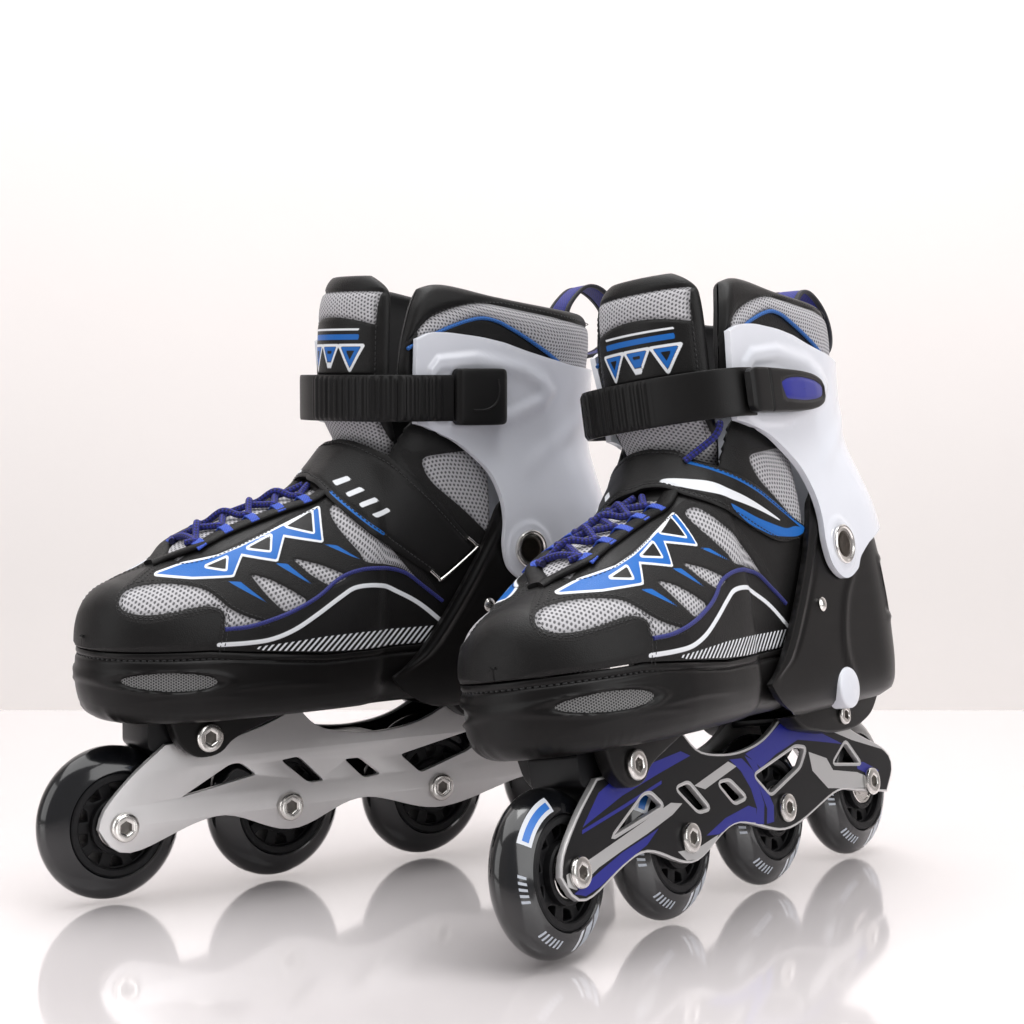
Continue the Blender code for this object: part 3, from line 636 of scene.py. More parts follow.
def makeWeave():
    # plain over-and-under webbing; Threads are mm. The over mask is 1 on threads lying over; the threads under them
    # get painted shade from it
    tree, given, out = newGroup("plainWeave", [("Threads", "Vector", None), ("Pitch", "Float", 0.8)],
                                [("Height", "Float"), ("LitOverShadedUnder", "Float")])
    split = node(tree, "SeparateXYZ")
    feed(tree, split.inputs[0], vec(tree, "SCALE", given["Threads"], calc(tree, "DIVIDE", 3.14159, given["Pitch"])))
    over = calc(tree, "MULTIPLY", *(calc(tree, "SINE", split.outputs[k]) for k in (0, 1)))
    fibre = noise(tree, vec(tree, "SCALE", given["Threads"], 6.0), 1.0, 2.0)
    feed(tree, out["LitOverShadedUnder"], smooth(tree, over, -0.4, 0.4))
    feed(tree, out["Height"], calc(tree, "ADD", calc(tree, "ABSOLUTE", over), calc(tree, "MULTIPLY", fibre, 0.3)))
    return tree


def makeBraid():
    # diagonal plait of a round lace; Threads are mm along and round
    tree, given, out = newGroup("lacePlait", [("Threads", "Vector", None), ("Pitch", "Float", 1.5)],
                                [("Height", "Float"), ("Strand", "Float")])
    split = node(tree, "SeparateXYZ")
    feed(tree, split.inputs[0], vec(tree, "SCALE", given["Threads"], calc(tree, "DIVIDE", 3.14159, given["Pitch"])))
    a = calc(tree, "SINE", calc(tree, "ADD", split.outputs[0], split.outputs[1]))
    b = calc(tree, "SINE", calc(tree, "SUBTRACT", split.outputs[0], split.outputs[1]))
    feed(tree, out["Strand"], smooth(tree, calc(tree, "MULTIPLY", a, b), -0.15, 0.15))
    feed(tree, out["Height"], calc(tree, "MAXIMUM", calc(tree, "ABSOLUTE", a), calc(tree, "ABSOLUTE", b)))
    return tree


airMesh, leatherGrain, mouldedSkin = makeAirMesh(), makeGrain(), makeMould()
edgeWear, plainWeave, lacePlait = makeEdgeWear(), makeWeave(), makeBraid()

colours = {
    "sky": (0.012, 0.13, 0.46, 1), "royal": (0.011, 0.016, 0.25, 1), "navy": (0.003, 0.004, 0.045, 1),
    "white": (0.78, 0.80, 0.83, 1), "black": (0.005, 0.0045, 0.0045, 1), "charcoal": (0.012, 0.011, 0.011, 1),
    "meshThread": (0.52, 0.51, 0.53, 1), "meshHole": (0.13, 0.13, 0.135, 1),
           "shellBlack": (0.006, 0.0055, 0.0055, 1),
    "shellWhite": (0.76, 0.78, 0.84, 1), "silver": (0.74, 0.73, 0.73, 1), "chrome": (0.78, 0.76, 0.73, 1),
    "lining": (0.012, 0.011, 0.012, 1)}


def newMaterial(name, colour, roughness, metallic=0.0, **sockets):
    made = bpy.data.materials.new(name)
    made.use_nodes = True
    tree = made.node_tree
    shader = tree.nodes["Principled BSDF"].inputs
    shader["Base Color"].default_value = colour
    shader["Roughness"].default_value = roughness
    shader["Metallic"].default_value = metallic
    for label, value in sockets.items():
        shader[label.replace("_", " ")].default_value = value
    return made, tree, shader


def shaded(colour, share):
    return tuple(c * share for c in colour[:3]) + (1,)


def bump(tree, shader, height, strength, distance=0.0004):
    made = node(tree, "Bump")
    feed(tree, made.inputs["Height"], height)
    made.inputs["Strength"].default_value = strength
    made.inputs["Distance"].default_value = distance
    feed(tree, shader["Normal"], made.outputs[0])


def place(tree):
    return node(tree, "TexCoord").outputs["Object"]


def threads(tree):
    return node(tree, "UVMap", uv_map="threads").outputs[0]


def plastic(name, colour, roughness, fineness=2600.0, strength=0.12, wear=0.25, wearColour=None, coat=0.0,
            scuff=0.12):
    made, tree, shader = newMaterial(name, colour, roughness, Coat_Weight=coat, Coat_Roughness=0.12,
                                     Specular_IOR_Level=0.5 if max(colour[:3]) > 0.2 else 0.2)
    at = place(tree)
    skin = placed(tree, mouldedSkin, Place=at, Fineness=fineness)
    worn = placed(tree, edgeWear, Place=at)["Mask"]
    pale = wearColour or tuple(min(1.0, c * 1.6 + 0.03) for c in colour[:3]) + (1,)
    tone = mixed(tree, calc(tree, "MULTIPLY", skin["Cloud"], 0.35), colour, shaded(colour, 0.82))
    feed(tree, shader["Base Color"], mixed(tree, calc(tree, "MULTIPLY", worn, wear), tone, pale))
    rough = calc(tree, "ADD", roughness - 0.03, calc(tree, "MULTIPLY", skin["Cloud"], 0.08))
    feed(tree, shader["Roughness"], calc(tree, "ADD", rough, calc(tree, "MULTIPLY", skin["Scuff"], scuff)))
    bump(tree, shader, skin["Height"], strength)
    return made


def leather(name, colour, roughness, scale=1100.0, strength=0.35):
    made, tree, shader = newMaterial(name, colour, roughness, Specular_IOR_Level=0.2)
    at = place(tree)
    grain = placed(tree, leatherGrain, Place=at, Scale=scale)
    worn = placed(tree, edgeWear, Place=at)["Mask"]
    tone = mixed(tree, calc(tree, "MULTIPLY", grain["Crease"], 0.5), colour, shaded(colour, 0.55))
    feed(tree, shader["Base Color"], mixed(tree, calc(tree, "MULTIPLY", worn, 0.3), tone, (0.035, 0.035, 0.035, 1)))
    feed(tree, shader["Roughness"], calc(tree, "ADD", roughness, calc(tree, "MULTIPLY", grain["Crease"], 0.2)))
    bump(tree, shader, grain["Height"], strength, 0.0002)
    return made


def webbing(name, colour, pitch=0.8):
    made, tree, shader = newMaterial(name, colour, 0.7, Sheen_Weight=0.08)
    cloth = placed(tree, plainWeave, Threads=threads(tree), Pitch=pitch)
    # threads passing under are painted darker: painted shade between the threads lying over
    feed(tree, shader["Base Color"], mixed(tree, cloth["LitOverShadedUnder"], shaded(colour, 0.5), colour))
    bump(tree, shader, cloth["Height"], 0.5, 0.0002)
    return made


def metal(name, colour, roughness, brushed=0.0, grainAxis=(60, 3000, 3000), metallic=1.0):
    made, tree, shader = newMaterial(name, colour, roughness, metallic)
    at = place(tree)
    lines = noise(tree, vec(tree, "MULTIPLY", at, grainAxis), 1.0, 3.0)
    cloud = noise(tree, at, 55.0, 3.0)
    worn = placed(tree, edgeWear, Place=at)["Mask"]
    feed(tree, shader["Base Color"], mixed(tree, calc(tree, "MULTIPLY", cloud, 0.3), colour,
                                           shaded(colour, 0.86)))
    rough = calc(tree, "ADD", roughness - 0.04, calc(tree, "MULTIPLY", cloud, 0.1))
    feed(tree, shader["Roughness"], calc(tree, "ADD", rough, calc(tree, "MULTIPLY", worn, -0.05)))
    bump(tree, shader, lines, brushed, 0.0001)
    return made


def laceMaterial():
    made, tree, shader = newMaterial("lacePlaitBlue", colours["royal"], 0.75, Sheen_Weight=0.05)
    plait = placed(tree, lacePlait, Threads=threads(tree), Pitch=1.9)
    feed(tree, shader["Base Color"], mixed(tree, plait["Strand"], colours["navy"], colours["royal"]))
    bump(tree, shader, plait["Height"], 0.8, 0.0005)
    return made


def ventMaterial():
    made, tree, shader = newMaterial("ventGrey", (0.16, 0.16, 0.16, 1), 0.7)
    knit = placed(tree, airMesh, Threads=threads(tree), Pitch=1.3, Hole=0.3)
    feed(tree, shader["Base Color"], mixed(tree, knit["Mask"], (0.20, 0.20, 0.20, 1), (0.02, 0.02, 0.02, 1)))
    bump(tree, shader, knit["Height"], 0.7)
    return made


def zoneMaterial(name, zones, meshScale=2.35):
    # a sewn surface whose zones are signed distances kept on the mesh, in painting order
    made, tree, shader = newMaterial(name, colours["charcoal"], 0.6, Specular_IOR_Level=0.22)
    at, thread = place(tree), threads(tree)
    grain = placed(tree, leatherGrain, Place=at, Scale=950.0)
    knit = placed(tree, airMesh, Threads=thread, Pitch=meshScale, Hole=0.27)
    cloud = noise(tree, at, 45.0, 3.0)
    colour = mixed(tree, calc(tree, "MULTIPLY", grain["Crease"], 0.6), colours["charcoal"],
                   (0.010, 0.010, 0.010, 1))
    rough = 0.55
    height = calc(tree, "MULTIPLY", grain["Height"], 0.35)
    for label, kind in zones:
        edge = node(tree, "Attribute", attribute_name=label).outputs["Fac"]
        mask = smooth(tree, edge, -0.16, 0.16)
        if kind == "hatch":
            run = node(tree, "Attribute", attribute_name="hatchRun").outputs["Fac"]
            ridge = calc(tree, "ABSOLUTE", calc(tree, "SUBTRACT", calc(tree, "FRACT", run), 0.5))
            mask = calc(tree, "MULTIPLY", mask, smooth(tree, ridge, 0.24, 0.18))
        if kind == "mesh":
            shade = smooth(tree, edge, 0.0, 2.2, 0.55, 1.0)
            lit = mixed(tree, calc(tree, "MULTIPLY", cloud, 0.35), colours["meshThread"], (0.42, 0.42, 0.44, 1))
            layer = mixed(tree, knit["Mask"], lit, colours["meshHole"])
            layer = mixed(tree, shade, (0.03, 0.03, 0.03, 1), layer)
            layerRough, layerHeight = 0.85, calc(tree, "MULTIPLY", knit["Height"], 1.2)
        elif kind == "smooth":
            layer = mixed(tree, calc(tree, "MULTIPLY", cloud, 0.4), colours["black"], (0.016, 0.016, 0.016, 1))
            layerRough, layerHeight = 0.42, calc(tree, "MULTIPLY", grain["Height"], 0.12)
        else:
            tint = colours["white" if kind == "hatch" else kind]
            layer = mixed(tree, calc(tree, "MULTIPLY", cloud, 0.25), tint, shaded(tint, 0.8))
            layerRough, layerHeight = 0.4, calc(tree, "MULTIPLY", grain["Height"], 0.1)
        colour = mixed(tree, mask, colour, layer)
        rough = mixed(tree, mask, rough, layerRough, "FLOAT")
        height = mixed(tree, mask, height, layerHeight, "FLOAT")
    feed(tree, shader["Base Color"], colour)
    feed(tree, shader["Roughness"], rough)
    bump(tree, shader, height, 0.7, 0.0005)
    return made


def tyreMaterial():
    made, tree, shader = newMaterial("castTyre", (0.010, 0.011, 0.014, 1), 0.13, Coat_Weight=0.5,
                                     Coat_Roughness=0.05)
    at = place(tree)
    split = node(tree, "SeparateXYZ")
    feed(tree, split.inputs[0], at)
    radius = calc(tree, "SQRT", calc(tree, "ADD", calc(tree, "POWER", split.outputs[0], 2.0),
                                     calc(tree, "POWER", split.outputs[2], 2.0)))
    tread = smooth(tree, radius, 0.0335, 0.0355)
    dust = noise(tree, at, 300.0, 4.0)
    specks = smooth(tree, cells(tree, at, 420.0), 0.07, 0.03)
    base = mixed(tree, calc(tree, "MULTIPLY", tread, 0.35), (0.005, 0.0055, 0.007, 1), (0.016, 0.015, 0.014, 1))
    feed(tree, shader["Base Color"], mixed(tree, calc(tree, "MULTIPLY", specks, 0.15), base, (0.12, 0.12, 0.12, 1)))
    feed(tree, shader["Roughness"], calc(tree, "ADD", 0.09, calc(tree, "MULTIPLY", dust, 0.12)))
    bump(tree, shader, noise(tree, at, 90.0, 2.0), 0.05)
    return made


blackShell = plastic("blackShell", colours["shellBlack"], 0.34, 1500.0, 0.16, 0.3)
whiteShell = plastic("whiteShell", colours["shellWhite"], 0.2, 900.0, 0.03, 0.2, (0.9, 0.9, 0.92, 1), coat=0.4,
                     scuff=0.05)
hubPlastic = plastic("hubNylon", (0.010, 0.010, 0.011, 1), 0.42, 2200.0, 0.2, 0.2)
strapPlastic = plastic("strapBlack", (0.0075, 0.0072, 0.0072, 1), 0.4, 1800.0, 0.15, 0.4)
insertBlue = plastic("insertBlue", colours["royal"], 0.35, 2000.0, 0.1, 0.2)
blackLeather = leather("blackLeather", colours["black"], 0.42, 1200.0, 0.3)
blackCloth = webbing("blackLining", colours["lining"], 0.7)
royalWeb = webbing("royalWebbing", colours["royal"], 0.9)
blackWeb = webbing("blackWebbing", (0.012, 0.012, 0.02, 1), 0.9)
skyWeb = webbing("skyCord", colours["sky"], 0.9)
loopWeb = webbing("loopBlue", (0.02, 0.08, 0.55, 1), 0.8)
thread = webbing("stitchThread", (0.02, 0.02, 0.021, 1), 0.4)
chrome = metal("plateChrome", colours["chrome"], 0.16, 0.05)
darkSteel = metal("socketSteel", (0.16, 0.15, 0.14, 1), 0.35, 0.1)
silverPlate = metal("satinPlate", colours["silver"], 0.36, 0.12, (80, 3000, 5000), 0.6)
blackPlate = plastic("blackPlate", (0.009, 0.009, 0.010, 1), 0.3, 2600.0, 0.06, 0.1)
royalPrint = plastic("royalPrint", colours["royal"], 0.3, 2600.0, 0.05, 0.1)
skyPrint = plastic("skyPrint", (0.03, 0.18, 0.6, 1), 0.3, 2600.0, 0.05, 0.1)
whitePrint = plastic("whitePrint", (0.72, 0.75, 0.80, 1), 0.35, 2600.0, 0.05, 0.1)
greyPrint = plastic("greyPrint", (0.50, 0.54, 0.60, 1), 0.35, 2600.0, 0.05, 0.1)
silverPrint = metal("silverPrint", (0.62, 0.62, 0.62, 1), 0.4, 0.08, (80, 3000, 5000), 0.7)
pivotEye = metal("pivotEye", (0.10, 0.085, 0.07, 1), 0.22, 0.05)
royalCord = webbing("royalPiping", (0.012, 0.018, 0.20, 1), 0.8)
castTyre, lace, ventCloth = tyreMaterial(), laceMaterial(), ventMaterial()
upperCloth = zoneMaterial("sewnUpper", [("meshZone", "mesh"), ("blackZone", "smooth"), ("whiteZone", "white"),
                                        ("hatchZone", "hatch"), ("skyZone", "sky"), ("inkZone", "smooth")])
softCloth = zoneMaterial("sewnCollar", [("meshZone", "mesh"), ("blackZone", "smooth"), ("whiteZone", "white"),
                                        ("skyZone", "sky"), ("inkZone", "smooth")], 2.0)
strapLeather = zoneMaterial("printedStrap", [("blackZone", "smooth"), ("whiteZone", "white"), ("skyZone", "sky")])
print("materials made:", len(bpy.data.materials))


# wheels, axles and bolts

wheel = {"radius": 36.0, "halfWidth": 12.0, "crown": 21.0, "hubRadius": 24.0, "bore": 11.0, "axle": 4.0,
         "spacing": 88.4, "spokes": 5, "spokeHalf": 1.7}


def tyreMesh():
    # the tread's section is half an ellipse
    tall, half = wheel["crown"], wheel["halfWidth"]
    crown = wheel["radius"] - tall
    edge = half * (1 - ((wheel["hubRadius"] + 0.3 - crown) / tall) ** 2) ** 0.5
    profile = [(24.3, -edge + 0.6), (24.9, -edge)]
    profile += [(crown + tall * cos(radians(a)), half * sin(radians(a))) for a in np.linspace(-60, 60, 33)]
    profile += [(24.9, edge), (24.3, edge - 0.6), (23.9, 6), (23.9, -6)]
    return turned("tyre", profile, [castTyre], 96, closed=True)


def tyrePrints():
    # one arc bar and slanted wedges on the outer face
    def on(r, a, lift=0.07):
        c = (r - 15.0) / 21.0
        y = 12.0 * max(1 - c * c, 0.0) ** 0.5
        n = Vector((c / 21.0, y / 144.0)).normalized()
        r, y = r + n.x * lift, y + n.y * lift
        return (r * sin(a), y, -r * cos(a))

    def patch(name, r0, r1, a0, a1, skew, finish, lift):
        rows = [[on(r, a + skew * (r - r0) / (r1 - r0), lift) for r in np.linspace(r0, r1, 7)]
                for a in np.linspace(a0, a1, 24)]
        return gridMesh(name, rows, [finish], outFrom=(0, -40, 0), threads=False)
    made = [patch("bar", 26.6, 32.6, radians(122), radians(172), 0, whitePrint, 0.06),
            patch("bar2", 28.2, 31.0, radians(125), radians(169), 0, skyPrint, 0.1)]
    for k, width in enumerate((13, 13, 5)):
        start = radians(-50 + 17 * k)
        made.append(patch("wedge", 25.8, 33.0, start, start + radians(width), radians(9),
                          greyPrint if k < 2 else whitePrint, 0.08))
    for k in range(2):
        made.append(patch("tick", 26.6, 32.4, radians(-92 + 8 * k), radians(-88 + 8 * k), 0, greyPrint, 0.08))
    for start, count in ((16, 6), (74, 5)):         # plain slanted ticks, in place of lettering
        for k in range(count):
            a = radians(start + 5.0 * k)
            made.append(patch("mark", 28.0, 31.4, a, a + radians(2.3), radians(2.5), greyPrint, 0.08))
    return joined("tyrePrints", *made)


def hubMesh():
    outlines = [[(r * cos(a), r * sin(a)) for a in np.linspace(0, 2 * pi, count, endpoint=False)]
                for r, count in ((wheel["hubRadius"], 96), (wheel["bore"], 48))]
    for k in range(wheel["spokes"]):
        turn, half = 2 * pi * k / wheel["spokes"], pi / wheel["spokes"]
        for side in (-1, 1):
            corner = []
            for r, share in ((13.4, 0.10), (20.6, 0.10), (20.6, 0.86), (16.0, 0.86)):
                inset = wheel["spokeHalf"] / r
                a = turn + side * (inset * 0.5 + (half - inset) * share + inset * (0.2 if share > 0.5 else 0.3))
                corner.append((r * cos(a), r * sin(a)))
            outlines.append(rounded(corner, 1.6, 4))
    spokes = flatShape("hubSpokes", outlines, -7.5, 7.5, [hubPlastic], 0.7, 3)
    rims = [(24.0, -10.2), (23.2, -10.8), (21.0, -10.8), (20.4, -10.2)]
    rims += [(r, -y) for r, y in reversed(rims)]
    rim = turned("rim", rims, [hubPlastic], 96, closed=True)
    nose = [(11.1, -11.2), (11.6, -11.6), (12.8, -11.6), (13.6, -10.8)]
    nose += [(r, -y) for r, y in reversed(nose)]
    return joined("hub", spokes, rim, turned("nose", nose, [hubPlastic], 64, closed=True))


def bearingMesh():
    parts = []
    for side in (-1, 1):
        y = 11.0 * side
        race = [(10.95, y - 1.6 * side), (10.95, y), (10.6, y + 0.3 * side), (9.5, y + 0.3 * side),
                (9.3, y - 0.2 * side), (6.6, y - 0.2 * side), (6.4, y + 0.3 * side), (4.7, y + 0.3 * side),
                (4.6, y - 1.6 * side)]
        parts.append(turned("race", race, [chrome], 48, closed=True))
    return joined("bearing", *parts)


def boltMesh(name, seat, headRadius, shaftRadius, height):
    # button head with a hexagon socket on each side
    socket = headRadius * 0.42
    crown = [(headRadius * 0.985, 0.5), (headRadius * 0.92, 0.72), (headRadius * 0.84, 0.8),
             (headRadius * 0.74, 0.84),
             (socket * 1.3, 0.86), (socket * 1.12, 0.8), (socket, 0.7)]
    side = [(shaftRadius, seat - 0.2), (headRadius * 0.98, seat), (headRadius, seat + 0.3)]
    side += [(r, seat + height * share) for r, share in crown] + [(socket * 0.95, seat + 0.1)]
    hexRows = (8, 9, 10)        # the rows that form the socket

    def hexagon(i, a, r):
        if i in hexRows:
            return r / max(cos((a % (pi / 3)) - pi / 6), 0.86) * 0.93
        return r
    floor = [(socket * 0.98, seat + 0.12), (0.01, seat + 0.1)]
    made = []
    for turn in (1, -1):
        made.append(turned(name, [(r, y * turn) for r, y in side], [chrome], 48, wobble=hexagon, angle=30,
                           closed=True))
        made.append(turned("socket", [(r, y * turn) for r, y in floor], [darkSteel], 24))
    made.append(turned("shaft", [(shaftRadius, -seat), (shaftRadius, seat)], [darkSteel], 24))
    return joined(name, *made)


tyre, prints, hub, bearing = tyreMesh(), tyrePrints(), hubMesh(), bearingMesh()
axleBolt = boltMesh("axleBolt", 16.3, 7.0, wheel["axle"] * 0.99, 3.0)
for number in (1, 2, 3, 4):
    centre = (-wheel["spacing"] * (number - 1), 0, wheel["radius"])
    body = f"wheel_{number}"
    pair(f"Tyre{number}", tyre, body, [f"tyre_{number}"], centre)
    pair(f"TyrePrint{number}", prints, body, at=centre)
    pair(f"Hub{number}", hub, body, [f"hub_{number}"], centre)
    pair(f"Bearing{number}", bearing, body, at=centre)
    pair(f"AxleBolt{number}", axleBolt, "skate", [f"axle_{number}"], centre)
pair("FrontMountBolt", boltMesh("mountBolt", 24.3, 7.0, 2.5, 3.0), "toe_part", ["front_mount_bolt"],
     (-40, 0, 75))
pair("RearMountBolt", boltMesh("rearBolt", 27.3, 5.0, 2.5, 2.6), "skate", ["rear_mount_bolt"],
     (-225, 0, 74))
print("wheels and bolts done")


# chassis

chassis = {"inner": 13.0, "outer": 16.0, "edge": 0.35, "rim": 0.75, "windowRim": 1.25}
solePlane = 84.0
plateOutline = runs(
    ([(12.5, 36), (9, 45), (-5, 59), (-22, 71.8)], 12),
    ([(-22, 71.8), (-58, 71.8)], 2),
    ([(-58, 71.8), (-77, 77), (-93, solePlane - 0.7)], 10),
    ([(-93, solePlane - 0.7), (-105, 73), (-124, 68.5), (-144, 67.5), (-165, 70.5), (-186, 79.2)], 22),
    ([(-186, 79.2), (-242, 79.2)], 2),
    ([(-242, 79.2), (-250, 65), (-284, 50), (-291, 40), (-282, 28.5)], 20),
    ([(-282, 28.5), (-249, 34), (-228, 36), (-177, 26), (-130, 36), (-90, 25), (-50, 36), (-8, 24.5), (5, 26.5),
      (12.5, 36)], 60))
plateWindows = [rounded(w, 3.0) for w in (
    [(-28, 46), (-56, 60), (-62, 60), (-71, 53)],
    [(-83, 59), (-94, 60), (-109, 46), (-99, 46)],
    [(-119, 56), (-129, 56), (-142, 46), (-131, 45)],
    [(-152, 55), (-194, 63), (-204, 61), (-196, 53), (-165, 44)],
    [(-229, 50), (-245, 59), (-258, 46)])]
platePrint = [      # outlines in (x, z) and their finish: 0 bare, 1 black, 2 royal
    ([(-7, 53.6), (-22, 66), (-36, 70.2), (-90.5, 74.5), (-98, 71.5), (-72.7, 67.7), (-39.5, 62.1), (-11.9, 54.9)],
     2),
    ([(-6.5, 52.6), (-38.6, 58.0), (-71.8, 64.1), (-71.6, 62.6), (-38.3, 56.4), (-6, 51.0)], 2),
    ([(9, 36.5), (-14.8, 41.0), (-32.9, 44.6), (-77.1, 53.4), (-86.4, 51.7), (-77.3, 48.1), (-55.2, 43.2),
      (-34.2, 39.4), (-15.0, 35.4), (3, 29.2), (9, 31.5)], 0),
    ([(-98.3, 57.9), (-130.0, 64.5), (-136.8, 61.3), (-107, 55.0)], 0),
    ([(5, 27.9), (-14.7, 33.6), (-33.9, 38.6), (-55.0, 42.2), (-64.6, 44.1), (-54, 38.6), (-33.1, 33.4),
      (-14.4, 27.5), (-3.2, 25.6)], 2),
    ([(-77.7, 31.6), (-94.3, 30.4), (-113.2, 33.4), (-110, 30.4), (-93.5, 25.6), (-84, 26.6)], 0),
    ([(-103, 34.6), (-121.3, 39.7), (-142.9, 42.1), (-149.6, 39.8), (-148.3, 33.4), (-133.1, 35.8), (-113.6, 33.5)],
     2),
    ([(-131.4, 65.2), (-142.4, 64.3), (-151.3, 57.4), (-155.4, 47.6), (-157.6, 40.6), (-154.8, 31.6),
      (-147.1, 32.8), (-150.4, 39.7), (-147.2, 49.4), (-140.2, 58.6)], 2),
    ([(-145.2, 65.2), (-154.6, 61.0), (-159.3, 53.8), (-162.5, 45.3), (-166.1, 38.6), (-164.4, 31.2),
      (-157.5, 31.3), (-159.6, 38.1), (-156.0, 46.6), (-151.6, 57.2)], 2),
    ([(-146.2, 65.8), (-163, 69.0), (-182, 75.5), (-199.8, 74.4), (-236.1, 60.2), (-240.9, 58.1), (-213.0, 63.2),
      (-196.9, 65.9), (-174.2, 61.9), (-158.6, 57.3), (-154.3, 60.8)], 2),
    ([(-206.0, 58.8), (-223.0, 53.4), (-228.2, 46.8), (-252.7, 42.3), (-270, 36.2), (-271.0, 32.0), (-239.2, 36.1),
      (-220.7, 38.9), (-207.4, 49.4)], 0),
    ([(-226, 71.7), (-243, 68.5), (-278.3, 53.4), (-286.5, 48.9), (-251.6, 58.7), (-228.4, 66.8)], 0),
    ([(-253, 47.6), (-261, 46.3), (-276, 40.0), (-270, 37.6), (-253.5, 43.9)], 2)]


def chassisPieces():
    holes = plateWindows
    for side, name in ((1, "LateralPlate"), (-1, "MedialPlate")):
        y0, y1 = sorted((side * chassis["inner"], side * chassis["outer"]))
        plate = flatShape(name, [plateOutline] + holes, y0, y1, [silverPlate], chassis["edge"], 2)
        pair(name, plate, "skate", ["chassis"] if side == 1 else ())
    film = chassis["outer"] + 0.05
    layers = [(grown(plateOutline, -0.3), 0), (grown(plateOutline, -chassis["rim"]), 1)]
    layers += platePrint
    layers += [(grown(w, chassis["windowRim"]), 0) for w in holes]
    sheet = printedSheet("plateFilm", layers, lambda x, z: (x, film, z), [silverPrint, blackPlate, royalPrint],
                         [grown(w, 0.25) for w in holes])
    turnOut(sheet, (-140, -200, 50))
    # keep the film inside the plate's own edge
    with editing(sheet) as bm:
        middles = np.array([(f.calc_center_median().x, f.calc_center_median().z) for f in bm.faces]) / mm
        inside = insideDistance(middles[:, 0], middles[:, 1], grown(plateOutline, -0.25)) > 0
        bmesh.ops.delete(bm, geom=[f for f, k in zip(list(bm.faces), inside) if not k], context="FACES")
    pair("PlateFilm", sheet, "skate")
    # black film on the plates' inner faces: partly the plates' black coat, partly painted shade for the dark inside
    # seen through the windows
    back = chassis["inner"] - 0.05
    inner = printedSheet("innerFilm", [(grown(plateOutline, -0.4), 0)], lambda x, z: (x, back, z), [blackPlate],
                         [grown(w, 0.3) for w in holes])
    turnOut(inner, (-140, 200, 50))
    pair("InnerBlackAndShade", inner, "skate")
    webs = []
    for outline, r in (([(-50, 58), (-32, 58), (-24, 65), (-14.5, 70.8), (-14.5, 83.7), (-93, 83.7), (-93, 79),
                         (-54, 79)], 2.0),
                       ([(-142, 58), (-123, 58), (-120, 66), (-145, 66)], 2.0),
                       ([(-232, 60), (-216, 60), (-212, 75.2), (-186, 75.2), (-186, 79.2), (-242, 79.2),
                         (-242, 75.2), (-236, 75.2)], 1.2)):
        webs.append(flatShape("web", [rounded(outline, r)], -13, 13, [blackPlate], 0.4, 2))
    pair("FrameWebs", joined("webs", *webs), "skate")


chassisPieces()
print("chassis done")


# the sole's plan, shared by the lower shell and the soft upper

sole = {"toeX": 13.5, "ballX": -70.0, "ballHalf": 48.0, "wall": 3.0, "ear": 24.0}


def halfWidth(x):
    x = np.asarray(x, float)
    ahead = np.maximum(x - sole["ballX"], 0) / (sole["toeX"] - sole["ballX"])
    front = sole["ballHalf"] * np.maximum(0.0, 1 - ahead ** 2.6) ** 0.4545
    back = along(x, [(-195, 37.8), (-165, 38.6), (-131, 39.5), (-122, 43.5), (-100, 46.5), (-70, 48)])
    return np.where(x > sole["ballX"], front, back)


def centreY(x):
    return -4.0 * np.clip((np.asarray(x, float) + 60) / 73, 0.0, 1.0)


def rimZ(x):
    return 112.5 + 5.5 * np.clip((np.asarray(x, float) + 90) / 60, 0.0, 1.0)


def soleRing(count=220, rear=-162.0):
    # plan of the lower shell from its rear outer end round the toe to its rear inner end
    a = np.linspace(0, 1, 400)
    x = sole["toeX"] - (sole["toeX"] - rear) * (1 - np.cos(pi * a / 2)) ** 1.15
    side = np.stack([x, halfWidth(x)], 1)
    ring = np.concatenate([side[::-1], side[1:] * (1, -1)])
    ring[:, 1] += centreY(ring[:, 0])
    return spline(ring[::6], count)


